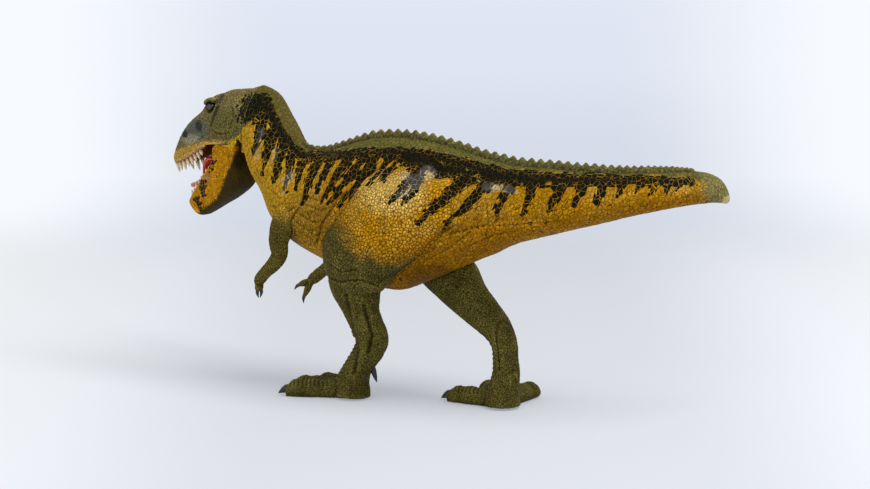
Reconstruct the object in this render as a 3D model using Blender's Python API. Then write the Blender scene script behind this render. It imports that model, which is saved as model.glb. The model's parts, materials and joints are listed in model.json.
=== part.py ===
"""Toy dinosaur figure: a big two-legged meat-eater, glued up from moulded pieces, whose lower jaw swings on a pin.

Units are metres. The figure faces -X, its left side is -Y, and it stands on the ground at Z = 0.
Every table of shares holds places or sizes as shares of the named sizes that its comment gives.
"""

import math

import bmesh
import bpy
from mathutils import Matrix, Vector

TAU = math.tau
LEFT = -1
RIGHT = 1

# Trunk and tail
TORSO_LENGTH = 0.100  # chest to tail seam
TORSO_DEPTH = 0.070  # back to belly at the hips
TORSO_WIDTH = 0.042
HIP_HEIGHT = 0.086  # middle of the trunk at the hips, above the ground
NECK_SWAY = 0.0045  # how far the neck's end leans to the right
TAIL_REACH = 0.0775  # along X, from the seam to the bend's farthest point
TAIL_SWEEP = 0.050  # how far the tail's tip bends to the right
BACK_TAPER_SHARE = 0.24  # how much narrower the back is than the belly

# Serrated crest along the back
CREST_RISE = 0.0016  # smooth ridge under the teeth
CREST_ROOT = 0.0030  # part of the ridge that runs inside the back
CREST_THICKNESS = 0.0034
CREST_EDGE_SHARE = 0.42  # thickness of the teeth's edge
CREST_TOOTH_HEIGHT = 0.0021
CREST_TOOTH_PITCH = 0.0046
CREST_OUTLINE_SHARES = ((0.35, 0.85), (0.70, 1.0), (1.0, 0.0))  # of one tooth: along its pitch, and height
CREST_START_SHARE = 0.35  # the ridge's height where the crest begins and ends
CREST_FADE_SHARE = 0.10  # run over which it grows from there

# Hollow shell, its glued seam and its bosses
WALL = 0.0030
FIT_GAP = 0.0003  # between pieces that seat on each other
GLUE_LINE = 0.0002  # between the two halves of the trunk
HIP_BOSS_RADIUS = 0.0090
ALIGNMENT_PIN_RADIUS = 0.0014
ALIGNMENT_PIN_LENGTH = 0.0030
NECK_PEG_RADIUS = 0.0036
NECK_PEG_LENGTH = 0.0045
TAIL_PEG_RADIUS = 0.0075
TAIL_PEG_LENGTH = 0.0100

# Head, in its own frame: forward from the jaw pin, up, and out to the side
HEAD_LENGTH = 0.060  # jaw pin to snout
HEAD_HEIGHT = 0.026
HEAD_WIDTH = 0.0245
HEAD_TURN = math.radians(19)
HEAD_DIP = math.radians(16)
HINGE_AHEAD = 0.0073  # jaw pin in front of the neck's end
HINGE_BELOW = 0.0070
CHEEK_WALL = 0.0015
SKULL_WAIST_SHARE = 0.30  # height of the skull's widest line
SKULL_TAPER_SHARE = 0.40  # how much narrower the skull's top is
SKULL_TOP_POWER = 2.2
SKULL_BASE_POWER = 9.0
MOUTH_ROOF_POWER = 2.6
MOUTH_ROOF_DROP_SHARE = 0.25  # how far the roof's cutter hangs below the lip

# Eyes and brows
EYE_RADIUS = 0.0023
EYE_AHEAD = 0.0150
EYE_UP = 0.0175
EYE_OUT_SHARE = 0.36
BROW_OUT_SHARE = 0.31
BROW_RISE_SHARE = 1.2  # above the eye's middle, of the eye's radius
BROW_RADIUS_SHARES = (2.1, 0.9, 0.8)  # of the eye's radius, along X, Y and Z of the head

# Lower jaw, in its own frame: the head's, swung down by the gape
JAW_LENGTH = 0.0575
JAW_DEPTH = 0.0115
GAPE = math.radians(24)
JAW_POWER = 3.0
JAW_FLAP_POWER = 8.0
JAW_FLOOR_SHARE = 0.42  # depth of the trough between the lower teeth
MOUTH_FLOOR_POWER = 3.0
CHEEK_FLAP_HEIGHT = 0.0060
FLAP_SLOPE_SHARE = 0.70

# Jaw joint
PIN_RADIUS = 0.0011
PIN_FIT = 0.0002
JAW_EAR_RADIUS = 0.0052
JAW_SIDE_GAP = 0.0003
JAW_SLOT_INNER_SHARE = 0.245  # half width of the skull's middle block between the jaw's ears
SLOT_LENGTH = 0.0225
SLOT_STATION_SHARES = (-1.0, -0.85, -0.5, 0.0, 0.33, 0.67, 1.0)  # of the ear's radius behind the pin, and ahead
THROAT_START = 0.0070  # ahead of the pin; the slot between the jaw's sides goes right through behind it
THROAT_END = 0.0140
THROAT_DEPTH = 0.0078  # below the pin
JAW_INNER_DROP = 0.0022  # the jaw's inner walls lie lower than its lip, to clear the skull's middle

# Tooth rows
GUM_THICKNESS = 0.0016
GUM_WALL = 0.0006  # between a tooth strip and the hollow of the mouth
GUM_DEPTH = 0.0022
UPPER_TOOTH_LENGTH = 0.0045
LOWER_TOOTH_LENGTH = 0.0036
TOOTH_THICKNESS = 0.0021
UPPER_TOOTH_PITCH = 0.0030
LOWER_TOOTH_PITCH = 0.0029
UPPER_TOOTH_INSET = 0.0012
LOWER_TOOTH_INSET = 0.0029
UPPER_ROW_STATIONS = (4.1, 8.8)
LOWER_ROW_STATIONS = (3.7, 6.6)
FRONT_BULGE_SHARE = 0.70
TOOTH_SHARES = ((0.0, 0.72), (0.50, 0.64), (1.0, 0.12))  # of one tooth: height and thickness
TOOTH_BEND_SHARE = 0.16
TOOTH_SINK_SHARE = 0.60  # how deep a tooth stands in the gum strip
FRONT_TOOTH_SHARE = 0.62
FRONT_TEETH_RUN_SHARE = 0.12  # part of the row, from its middle, that has the small front teeth
UNEVEN_TOOTH_SHARE = 0.86
UPPER_BACK_TOOTH_SHARE = 0.55
LOWER_BACK_TOOTH_SHARE = 0.60
TOOTH_SHRINK_POWER = 1.5

# Tongue
TONGUE_LENGTH = 0.041
TONGUE_WIDTH = 0.0080
TONGUE_THICKNESS = 0.0030
TONGUE_BACK = 0.0150

# Legs
HIP_WIDTH = 0.0185  # leg's middle from the midline at the knee
HIP_AXIS_X = -0.002
THIGH_LENGTH = 0.029  # hip muscle's half length, fore and aft
THIGH_BULGE = 0.0130
THIN_SHARE = 0.62  # a section with less fore-and-aft radius than this leans with the leg
HIP_PEG_RADIUS = 0.0050
HIP_PEG_DEPTH = 0.0080

# Feet
TOE_LENGTH = 0.031
TOE_RADIUS = 0.0052
TOE_SHARES = ((0.0, 1.20), (0.28, 1.05), (0.45, 0.92), (0.60, 1.02), (0.74, 0.90), (0.87, 0.98), (0.97, 0.70))
TOE_FLATNESS_SHARE = 0.86
SOLE_CUT = 0.0006  # how deep the toes and pads are cut flat
CLAW_LENGTH = 0.0060
CLAW_RADIUS = 0.0021
CLAW_DROOP_SHARE = 0.50
CLAW_SHARES = ((-0.10, 1.0), (0.30, 0.92), (0.65, 0.62), (1.0, 0.12))
CLAW_FLATNESS_SHARE = 0.80
CLAW_HEIGHT_SHARE = 0.65  # height of a claw's root above the ground
DEWCLAW_LENGTH = 0.0100
DEWCLAW_STATIONS_UP = 3.6
DEWCLAW_BACK_SHARE = 0.75
DEWCLAW_IN_SHARE = 0.35
DEWCLAW_LEAN = math.radians(20)

# Arms and fingers
ARM_LENGTH = 0.046
ARM_RADIUS = 0.0055
ARM_FLATNESS_SHARE = 0.85
SHOULDER_WIDTH = 0.019
SHOULDER_X = -0.064
SHOULDER_Z = 0.0850
SHOULDER_DROP = 0.0050
SHOULDER_PEG_RADIUS = 0.0025
SHOULDER_PEG_LENGTH = 0.0112
PALM_STATIONS_UP = 0.6
FINGER_LENGTH = 0.0080
FINGER_RADIUS = 0.0016
FINGER_CLAW_LENGTH = 0.0030
FINGER_CLAW_SHARE = 0.55
FINGER_SHARES = ((0.0, 1.1), (0.35, 1.0), (0.55, 1.12), (0.80, 0.85), (0.97, 0.62))
FINGER_ANGLES = {LEFT: ((84, -0.20), (98, 0.20)), RIGHT: ((22, 0.10), (62, -0.05))}  # down from ahead, and lean
FINGER_REACH_SHARES = {LEFT: 0.55, RIGHT: 1.20}

# Seats inside the trunk
HOLLOW_STATIONS = (4.8, 9.8)
ALIGNMENT_PINS = ((1.0, -0.30), (3.2, 0.10), (10.4, 0.80), (10.4, -0.80))  # station, and height in the section

# Mesh fineness: sides, steps and samples are counts
WELD = 0.000002
SHARP_ANGLE = math.radians(40)
STATION_STEP = 0.05  # part of a station, to read the body's run
LIMB_STEP = 0.1
TRUNK_SIDES = 24
LIMB_SIDES = 14
ROUND_SIDES = 16
MOUTH_SIDES = 12
TOE_SIDES = 8
FINGER_SIDES = 6
TOOTH_SIDES = 5
LUMP_RINGS = 8
ARCADE_STEPS = 8
SEAM_STEPS = 24
CREST_SAMPLES = 400
STEPS_BETWEEN_STATIONS = 2

# Paint of each piece
OCHRE = (0.42, 0.22, 0.02, 1)
OLIVE = (0.11, 0.10, 0.035, 1)
IVORY = (0.75, 0.62, 0.38, 1)
TONGUE_RED = (0.55, 0.05, 0.03, 1)
STEEL = (0.6, 0.6, 0.6, 1)

# Each row is one station of the trunk: the back line and the belly line as x (share of TORSO_LENGTH, from the
# hips) and z (share of TORSO_DEPTH, from HIP_HEIGHT), the half width (share of TORSO_WIDTH) and the sideways
# lean (share of NECK_SWAY).
TRUNK_STATION_SHARES = (
    (-0.915, 0.786, -0.960, 0.300, 0.281, 1.00),
    (-0.830, 0.735, -0.930, 0.150, 0.290, 0.80),
    (-0.755, 0.590, -0.850, 0.010, 0.305, 0.55),
    (-0.670, 0.418, -0.770, -0.150, 0.360, 0.27),
    (-0.560, 0.375, -0.670, -0.255, 0.425, 0.10),
    (-0.430, 0.420, -0.520, -0.345, 0.465, 0.00),
    (-0.295, 0.474, -0.350, -0.435, 0.490, 0.00),
    (-0.140, 0.497, -0.160, -0.503, 0.500, 0.00),
    (0.015, 0.481, 0.000, -0.434, 0.490, 0.00),
    (0.170, 0.440, 0.150, -0.336, 0.450, 0.00),
    (0.320, 0.389, 0.310, -0.236, 0.400, 0.00),
    (0.460, 0.361, 0.455, -0.139, 0.348, 0.00),
)
SEAM_STATION = len(TRUNK_STATION_SHARES) - 1

# Each row is one station of the tail: x (share of TAIL_REACH, from the seam), the back and the belly z (shares of
# TORSO_DEPTH, from HIP_HEIGHT), the half width (share of TORSO_WIDTH) and the sideways sweep (share of TAIL_SWEEP).
TAIL_STATION_SHARES = (
    (0.20, 0.354, -0.069, 0.300, 0.02),
    (0.43, 0.343, 0.002, 0.252, 0.08),
    (0.63, 0.340, 0.064, 0.212, 0.19),
    (0.79, 0.345, 0.108, 0.176, 0.34),
    (0.90, 0.343, 0.130, 0.143, 0.52),
    (0.97, 0.322, 0.135, 0.112, 0.70),
    (1.00, 0.265, 0.124, 0.081, 0.86),
    (1.00, 0.180, 0.110, 0.045, 0.98),
)

# The crest's teeth along the back, from the neck's foot to the tail's bend: place (share of the crest's run),
# pitch (share of CREST_TOOTH_PITCH) and height (share of CREST_TOOTH_HEIGHT).
CREST_STATIONS = (3.0, 16.2)
CREST_TOOTH_SHARES = (
    (0.00, 0.70, 0.35),
    (0.08, 0.78, 0.70),
    (0.18, 1.00, 1.00),
    (0.55, 1.00, 1.05),
    (0.75, 0.85, 0.95),
    (0.88, 0.62, 0.70),
    (1.00, 0.45, 0.30),
)

# Each row is one section of the skull: forward (share of HEAD_LENGTH), top and bottom (shares of HEAD_HEIGHT) and
# half width (share of HEAD_WIDTH).
SKULL_SHARES = (
    (0.005, 0.87, -0.24, 0.50),
    (0.09, 0.90, -0.16, 0.51),
    (0.19, 0.90, -0.09, 0.50),
    (0.30, 0.91, -0.03, 0.47),
    (0.41, 0.855, -0.02, 0.42),
    (0.50, 0.76, -0.03, 0.37),
    (0.60, 0.70, -0.05, 0.325),
    (0.75, 0.61, -0.08, 0.29),
    (0.87, 0.46, -0.08, 0.26),
    (0.96, 0.29, -0.04, 0.20),
    (1.00, 0.14, 0.02, 0.11),
)

# Each row is one section of the closed lower jaw: forward (share of JAW_LENGTH), depth (share of JAW_DEPTH) and
# half width (share of HEAD_WIDTH).
JAW_SHARES = (
    (-0.12, 0.40, 0.395),
    (0.00, 0.58, 0.400),
    (0.12, 1.22, 0.400),
    (0.30, 1.53, 0.400),
    (0.50, 1.40, 0.380),
    (0.70, 1.12, 0.330),
    (0.85, 0.92, 0.290),
    (0.95, 0.75, 0.230),
    (1.00, 0.48, 0.130),
)

# The mouth's arched roof: station of the skull and arch (share of HEAD_HEIGHT). Its floor: forward (share of
# JAW_LENGTH) and depth (share of the trough's).
MOUTH_ROOF_SHARES = ((3.7, 0.10), (4.4, 0.20), (5.5, 0.24), (6.5, 0.24), (7.5, 0.20), (8.4, 0.10))
MOUTH_FLOOR_SHARES = ((0.20, 1.0), (0.35, 1.0), (0.50, 1.0), (0.65, 1.0), (0.78, 1.0), (0.86, 0.7))

# Each row is one section of the tongue: forward and up (shares of TONGUE_LENGTH), width (share of TONGUE_WIDTH),
# thickness (share of TONGUE_THICKNESS) and tilt in degrees.
TONGUE_SHARES = (
    (0.00, 0.000, 0.70, 0.60, 0),
    (0.20, 0.000, 0.90, 1.00, 0),
    (0.45, 0.010, 0.85, 1.00, 6),
    (0.66, 0.060, 0.62, 0.90, 28),
    (0.80, 0.150, 0.45, 0.75, 44),
    (0.90, 0.250, 0.20, 0.35, 50),
)

# Each row is one station down the leg: forward of the hip axis (share of TORSO_LENGTH), out (share of HIP_WIDTH),
# height (share of HIP_HEIGHT), fore-and-aft radius (share of THIGH_LENGTH) and side radius (share of THIGH_BULGE).
LEFT_LEG_SHARES = (
    (0.040, 0.38, 1.300, 0.28, 0.32),
    (0.030, 0.50, 1.230, 0.62, 0.62),
    (0.000, 0.60, 1.150, 0.87, 0.82),
    (-0.040, 0.68, 1.080, 1.00, 0.92),
    (-0.070, 0.76, 1.010, 1.06, 1.00),
    (-0.105, 0.84, 0.940, 1.04, 1.00),
    (-0.160, 0.92, 0.860, 0.96, 0.97),
    (-0.205, 0.99, 0.780, 0.79, 0.88),
    (-0.245, 1.00, 0.700, 0.60, 0.78),
    (-0.268, 0.97, 0.620, 0.455, 0.69),
    (-0.260, 0.92, 0.550, 0.365, 0.61),
    (-0.250, 0.86, 0.485, 0.295, 0.55),
    (-0.233, 0.81, 0.420, 0.288, 0.53),
    (-0.218, 0.76, 0.352, 0.312, 0.54),
    (-0.232, 0.70, 0.296, 0.270, 0.48),
    (-0.262, 0.65, 0.240, 0.235, 0.46),
    (-0.295, 0.60, 0.190, 0.225, 0.47),
    (-0.325, 0.55, 0.130, 0.250, 0.53),
    (-0.345, 0.50, 0.070, 0.290, 0.62),
    (-0.350, 0.49, 0.015, 0.300, 0.64),
)
RIGHT_LEG_SHARES = (
    (0.060, 0.38, 1.300, 0.28, 0.32),
    (0.055, 0.50, 1.230, 0.62, 0.62),
    (0.045, 0.60, 1.150, 0.84, 0.82),
    (0.030, 0.70, 1.070, 0.95, 0.94),
    (0.010, 0.80, 0.990, 0.98, 1.00),
    (-0.010, 0.90, 0.905, 0.93, 0.98),
    (-0.030, 0.98, 0.810, 0.78, 0.90),
    (-0.035, 1.00, 0.715, 0.56, 0.80),
    (0.058, 0.90, 0.622, 0.430, 0.69),
    (0.145, 0.78, 0.542, 0.335, 0.61),
    (0.232, 0.69, 0.470, 0.285, 0.55),
    (0.305, 0.60, 0.402, 0.238, 0.54),
    (0.342, 0.55, 0.335, 0.210, 0.50),
    (0.352, 0.51, 0.255, 0.208, 0.46),
    (0.357, 0.48, 0.180, 0.222, 0.47),
    (0.350, 0.45, 0.110, 0.240, 0.54),
    (0.345, 0.43, 0.055, 0.275, 0.62),
    (0.345, 0.43, 0.010, 0.285, 0.64),
)
TOE_ANGLES = {LEFT: (22, 0, -28), RIGHT: (-2, 47, 95)}  # outward from straight ahead, in degrees
TOE_REACH_SHARES = {LEFT: (0.97, 1.00, 0.88), RIGHT: (0.86, 0.90, 0.88)}

# Each row is one station down the arm: forward of the shoulder, down from it and out (shares of ARM_LENGTH, the
# last of SHOULDER_WIDTH), then the radius (share of ARM_RADIUS).
LEFT_ARM_SHARES = (
    (-0.06, 0.02, 0.42, 1.10),
    (0.02, 0.02, 0.72, 1.32),
    (0.05, 0.14, 0.93, 1.36),
    (0.07, 0.30, 1.02, 1.05),
    (0.05, 0.44, 1.05, 0.82),
    (0.12, 0.54, 1.06, 0.70),
    (0.23, 0.63, 1.06, 0.57),
    (0.30, 0.71, 1.06, 0.56),
    (0.32, 0.77, 1.06, 0.40),
)
RIGHT_ARM_SHARES = (
    (-0.06, 0.02, 0.42, 1.10),
    (0.00, 0.02, 0.72, 1.32),
    (0.00, 0.14, 0.93, 1.36),
    (-0.05, 0.32, 1.02, 1.00),
    (-0.12, 0.48, 1.05, 0.78),
    (-0.04, 0.60, 1.04, 0.64),
    (0.10, 0.71, 1.00, 0.54),
    (0.20, 0.79, 0.97, 0.52),
    (0.25, 0.83, 0.96, 0.40),
)


def spline(rows, place):
    """The row at a fractional place along a table, on a Catmull-Rom curve through all its rows."""
    last = len(rows) - 1
    index = max(0, min(int(place), last - 1))
    t = place - index
    picked = [rows[max(0, min(index + step, last))] for step in (-1, 0, 1, 2)]
    row = []
    for a, b, c, d in zip(*picked):
        row.append(
            0.5 * (2 * b + (c - a) * t + (2 * a - 5 * b + 4 * c - d) * t**2 + (3 * b - a - 3 * c + d) * t**3)
        )
    return row


def reading(rows, place):
    """The other columns of a table whose first column is the place, read by straight lines."""
    for low, high in zip(rows, rows[1:]):
        if place <= high[0]:
            t = (place - low[0]) / (high[0] - low[0])
            return [a + (b - a) * t for a, b in zip(low[1:], high[1:])]
    return list(rows[-1][1:])


def material(name, colour, roughness, metallic=0.0):
    made = bpy.data.materials.new(name)
    made.use_nodes = True
    shader = made.node_tree.nodes["Principled BSDF"]
    shader.inputs["Base Color"].default_value = colour
    shader.inputs["Roughness"].default_value = roughness
    shader.inputs["Metallic"].default_value = metallic
    made.diffuse_color = colour
    return made


def solid(name, build):
    """An object whose mesh the build function fills, triangulated and facing outward."""
    mesh = bmesh.new()
    build(mesh)
    bmesh.ops.recalc_face_normals(mesh, faces=mesh.faces)
    bmesh.ops.triangulate(mesh, faces=mesh.faces)
    data = bpy.data.meshes.new(name)
    mesh.to_mesh(data)
    mesh.free()
    made = bpy.data.objects.new(name, data)
    bpy.context.scene.collection.objects.link(made)
    return made


def skin(name, rings):
    """A closed solid through rings of equal point count, each end closed by a fan."""

    def build(mesh):
        loops = [[mesh.verts.new(point) for point in ring] for ring in rings]
        for near, far in zip(loops, loops[1:]):
            for i in range(len(near)):
                j = (i + 1) % len(near)
                mesh.faces.new((near[i], near[j], far[j], far[i]))
        for loop in (loops[0], loops[-1]):
            middle = sum((vertex.co for vertex in loop), Vector()) / len(loop)
            pole = mesh.verts.new(middle)
            for i in range(len(loop)):
                mesh.faces.new((loop[i], loop[(i + 1) % len(loop)], pole))

    return solid(name, build)


def oval(centre, side, up, sides, taper=0.0):
    """Points round an oval; a taper above zero narrows the side that up points to."""
    points = []
    for k in range(sides):
        angle = TAU * k / sides
        across = math.cos(angle) * (1 - taper * math.sin(angle))
        points.append(centre + side * across + up * math.sin(angle))
    return points


def rod(name, start, end, radius, sides=ROUND_SIDES):
    """A straight round rod between two points."""
    along = (end - start).normalized()
    side = along.orthogonal().normalized()
    up = along.cross(side)
    return skin(name, [oval(point, side * radius, up * radius, sides) for point in (start, end)])


def weld(data):
    """Merge points that a cut leaves closer together than any real edge."""
    mesh = bmesh.new()
    mesh.from_mesh(data)
    bmesh.ops.remove_doubles(mesh, verts=mesh.verts, dist=WELD)
    bmesh.ops.dissolve_degenerate(mesh, edges=mesh.edges, dist=WELD)
    mesh.to_mesh(data)
    mesh.free()


def combine(target, tool, operation):
    """Cut, join or intersect the target with a tool, and take the tool away."""
    modifier = target.modifiers.new(operation.lower(), "BOOLEAN")
    modifier.operation = operation
    modifier.solver = "EXACT"
    modifier.object = tool
    bpy.context.view_layer.update()
    graph = bpy.context.evaluated_depsgraph_get()
    result = bpy.data.meshes.new_from_object(target.evaluated_get(graph))
    weld(result)
    target.modifiers.clear()
    old = target.data
    target.data = result
    bpy.data.meshes.remove(old)
    bpy.data.objects.remove(tool)
    return target


def cut(target, tool):
    return combine(target, tool, "DIFFERENCE")


def join(target, tool):
    return combine(target, tool, "UNION")


def copy_of(source, name):
    made = source.copy()
    made.data = source.data.copy()
    made.name = name
    bpy.context.scene.collection.objects.link(made)
    return made


def block(name, low, high):
    """A box between two corners."""

    def build(mesh):
        bmesh.ops.create_cube(mesh, size=1)
        for vertex in mesh.verts:
            share = vertex.co + Vector((0.5, 0.5, 0.5))
            vertex.co = Vector([a + (b - a) * s for a, b, s in zip(low, high, share)])

    return solid(name, build)


FAR = 3 * (TORSO_LENGTH + TAIL_REACH + HEAD_LENGTH)  # beyond any piece, for cutters


def body_stations():
    """Back point, belly point and half width at each station, from the neck's end to the tail's tip."""
    rows = []
    for back_x, back_z, belly_x, belly_z, half_width, lean in TRUNK_STATION_SHARES:
        sway = lean * NECK_SWAY
        back = (back_x * TORSO_LENGTH, sway, HIP_HEIGHT + back_z * TORSO_DEPTH)
        belly = (belly_x * TORSO_LENGTH, sway, HIP_HEIGHT + belly_z * TORSO_DEPTH)
        rows.append((*back, *belly, half_width * TORSO_WIDTH))
    seam_x = TRUNK_STATION_SHARES[-1][0] * TORSO_LENGTH
    for x, back_z, belly_z, half_width, sweep in TAIL_STATION_SHARES:
        place = (seam_x + x * TAIL_REACH, sweep * TAIL_SWEEP)
        back = (*place, HIP_HEIGHT + back_z * TORSO_DEPTH)
        belly = (*place, HIP_HEIGHT + belly_z * TORSO_DEPTH)
        rows.append((*back, *belly, half_width * TORSO_WIDTH))
    return rows


STATIONS = body_stations()
SEAM_X = TRUNK_STATION_SHARES[-1][0] * TORSO_LENGTH


def body_section(place):
    """Centre, side vector and up vector of the body at a fractional station."""
    row = spline(STATIONS, place)
    back = Vector(row[0:3])
    belly = Vector(row[3:6])
    ahead = spline(STATIONS, min(place + STATION_STEP, len(STATIONS) - 1))
    behind = spline(STATIONS, max(place - STATION_STEP, 0))
    run = Vector(ahead[0:3]) + Vector(ahead[3:6]) - Vector(behind[0:3]) - Vector(behind[3:6])
    run.z = 0
    side = Vector((0, 0, 1)).cross(run.normalized())
    return (back + belly) / 2, side * row[6], (back - belly) / 2


def body_ring(place, grow=0.0, sides=TRUNK_SIDES):
    centre, side, up = body_section(place)
    side = side * (1 + grow / side.length)
    up = up * (1 + grow / up.length)
    return oval(centre, side, up, sides, BACK_TAPER_SHARE)


def body_loft(name, start, end, grow=0.0):
    count = int(round((end - start) * STEPS_BETWEEN_STATIONS))
    places = [start + (end - start) * k / count for k in range(count + 1)]
    return skin(name, [body_ring(place, grow) for place in places])


def crest_run():
    """Places along the back line and how far along the crest each one is."""
    first, last = CREST_STATIONS
    places = [first + (last - first) * k / CREST_SAMPLES for k in range(CREST_SAMPLES + 1)]
    lengths = [0.0]
    for near, far in zip(places, places[1:]):
        a = Vector(spline(STATIONS, near)[0:3])
        b = Vector(spline(STATIONS, far)[0:3])
        lengths.append(lengths[-1] + (b - a).length)
    return list(zip(lengths, places))


def crest():
    """The serrated ridge: a thin wall that follows the back line, with one rounded tooth for each pitch."""
    run = crest_run()
    total = run[-1][0]
    samples = [(0.0, 0.0)]
    at = 0.0
    while True:
        pitch, height = reading(CREST_TOOTH_SHARES, at / total)
        pitch *= CREST_TOOTH_PITCH
        if at + pitch > total:
            break
        peak = height * CREST_TOOTH_HEIGHT
        for share, rise in CREST_OUTLINE_SHARES:
            samples.append((at + share * pitch, rise * peak))
        at += pitch
    samples.append((total, 0.0))
    rings = []
    for distance, rise in samples:
        (place,) = reading(run, distance)
        centre, side, up = body_section(place)
        across = side.normalized() * CREST_THICKNESS / 2
        upward = up.normalized()
        nearer_end = min(distance, total - distance)
        fade = min(1.0, CREST_START_SHARE + nearer_end / (CREST_FADE_SHARE * total))
        top = centre + up + upward * (CREST_RISE * fade + rise)
        root = centre + up - upward * CREST_ROOT
        edge = across * CREST_EDGE_SHARE
        rings.append([root - across, top - edge, top + edge, root + across])
    return skin("crest", rings)


def neck_end():
    """Centre and outward direction of the neck's end face."""
    centre, side, up = body_section(0)
    return centre, up.cross(side).normalized()


def head_frame():
    """World matrix of the head: X forward, Y to its left, Z up, at the jaw pin."""
    centre = neck_end()[0]
    pin = centre + Vector((-HINGE_AHEAD, 0, -HINGE_BELOW))
    face_back = Matrix.Rotation(math.pi - HEAD_TURN, 4, "Z")
    dip = Matrix.Rotation(HEAD_DIP, 4, "Y")
    return Matrix.Translation(pin) @ face_back @ dip


def jaw_frame():
    """World matrix of the lower jaw as photographed, open by the gape."""
    return head_frame() @ Matrix.Rotation(GAPE, 4, "Y")


def place_in(frame, forward, left, up):
    return frame @ Vector((forward, left, up))


def boxy(angle, power):
    """Cosine and sine of an angle, pushed out towards a rounded square as the power rises above two."""
    c = math.cos(angle)
    s = math.sin(angle)
    return math.copysign(abs(c) ** (2 / power), c), math.copysign(abs(s) ** (2 / power), s)


def skull_at(place):
    """Forward, top, waist and bottom heights and half width of the skull at a fractional row."""
    forward, top, bottom, half_width = spline(SKULL_SHARES, place)
    waist = bottom + (top - bottom) * SKULL_WAIST_SHARE
    return (
        forward * HEAD_LENGTH,
        top * HEAD_HEIGHT,
        waist * HEAD_HEIGHT,
        bottom * HEAD_HEIGHT,
        half_width * HEAD_WIDTH,
    )


def skull_ring(place):
    forward, top, waist, bottom, half_width = skull_at(place)
    frame = head_frame()
    points = []
    for k in range(TRUNK_SIDES):
        angle = TAU * k / TRUNK_SIDES
        upper = math.sin(angle) > 0
        across, rise = boxy(angle, SKULL_TOP_POWER if upper else SKULL_BASE_POWER)
        height = (top - waist if upper else waist - bottom) * rise
        across *= 1 - (SKULL_TAPER_SHARE * rise if upper else 0)
        points.append(place_in(frame, forward, -half_width * across, waist + height))
    return points


def ellipsoid(name, frame, centre, radii):
    """A rounded lump with its axes along a frame's."""
    rows = []
    for k in range(1, LUMP_RINGS):
        polar = math.pi * k / LUMP_RINGS
        row = []
        for i in range(MOUTH_SIDES):
            angle = TAU * i / MOUTH_SIDES
            forward = centre[0] + radii[0] * math.cos(polar)
            left = centre[1] + radii[1] * math.sin(polar) * math.cos(angle)
            up = centre[2] + radii[2] * math.sin(polar) * math.sin(angle)
            row.append(place_in(frame, forward, left, up))
        rows.append(row)
    return skin(name, rows)


def framed_block(name, frame, low, high):
    made = block(name, low, high)
    made.data.transform(frame)
    return made


def upper_lip(row):
    return row[0] * HEAD_LENGTH, row[2] * HEAD_HEIGHT, row[3] * HEAD_WIDTH


def lower_lip(row):
    return row[0] * JAW_LENGTH, 0.0, row[2] * HEAD_WIDTH


def arcade(rows, lip, inset, first, last):
    """The middle line of a tooth row, from the back of the mouth on the left round its front to the right."""
    side = []
    for k in range(ARCADE_STEPS + 1):
        forward, height, half_width = lip(spline(rows, first + (last - first) * k / ARCADE_STEPS))
        side.append(Vector((forward, half_width - inset, height)))
    corner = side[-1]
    front = []
    for k in range(1, ARCADE_STEPS):
        angle = math.pi * k / ARCADE_STEPS
        bulge = corner.y * FRONT_BULGE_SHARE * math.sin(angle)
        front.append(Vector((corner.x + bulge, corner.y * math.cos(angle), corner.z)))
    other_side = [Vector((point.x, -point.y, point.z)) for point in reversed(side)]
    return side + front + other_side


def gum_bar(name, frame, path, rise, grow=0.0):
    """The strip that the teeth stand on, a square bar bent along the row; rise is +1 upward or -1 downward."""
    rings = []
    for k, point in enumerate(path):
        near = path[max(k - 1, 0)]
        far = path[min(k + 1, len(path) - 1)]
        along = (far - near).normalized()
        across = Vector((0, 0, 1)).cross(along).normalized() * (GUM_THICKNESS / 2 + grow)
        end = grow if k in (0, len(path) - 1) else 0.0
        base = point + along * (end if k else -end)
        outer = Vector((0, 0, rise * (GUM_DEPTH + grow)))
        inner = Vector((0, 0, -rise * grow))
        corners = [base + across + inner, base + across + outer, base - across + outer, base - across + inner]
        rings.append([frame @ corner for corner in corners])
    return skin(name, rings)


def tooth_places(path, pitch, margin):
    """Evenly spaced points along a path, with the direction along it and the share of the way round."""
    lengths = [0.0]
    for near, far in zip(path, path[1:]):
        lengths.append(lengths[-1] + (far - near).length)
    usable = lengths[-1] - 2 * margin
    count = int(usable / pitch)
    count += count % 2
    table = [(length, *point) for length, point in zip(lengths, path)]
    for k in range(count):
        distance = margin + usable * (k + 0.5) / count
        here = Vector(reading(table, distance))
        ahead = Vector(reading(table, distance + margin / 2))
        behind = Vector(reading(table, distance - margin / 2))
        yield here, (ahead - behind).normalized(), distance / lengths[-1]


def tooth(mesh, frame, foot, along, out, length, sink):
    """One curved, pointed tooth standing on the gum bar; sink is the part of it inside the bar."""
    rows = []
    radius = TOOTH_THICKNESS / 2
    rise = math.copysign(1, length)
    for share, width in TOOTH_SHARES:
        bend = Vector((-1, 0, 0)) * abs(length) * TOOTH_BEND_SHARE * share**2
        middle = foot + Vector((0, 0, rise * (share * (abs(length) + sink) - sink))) + bend
        ring = []
        for point in oval(middle, along * radius * width, out * radius * width, TOOTH_SIDES):
            ring.append(mesh.verts.new(frame @ point))
        rows.append(ring)
    for near, far in zip(rows, rows[1:]):
        for i in range(TOOTH_SIDES):
            j = (i + 1) % TOOTH_SIDES
            mesh.faces.new((near[i], near[j], far[j], far[i]))
    mesh.faces.new(rows[0])
    mesh.faces.new(rows[-1])


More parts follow.
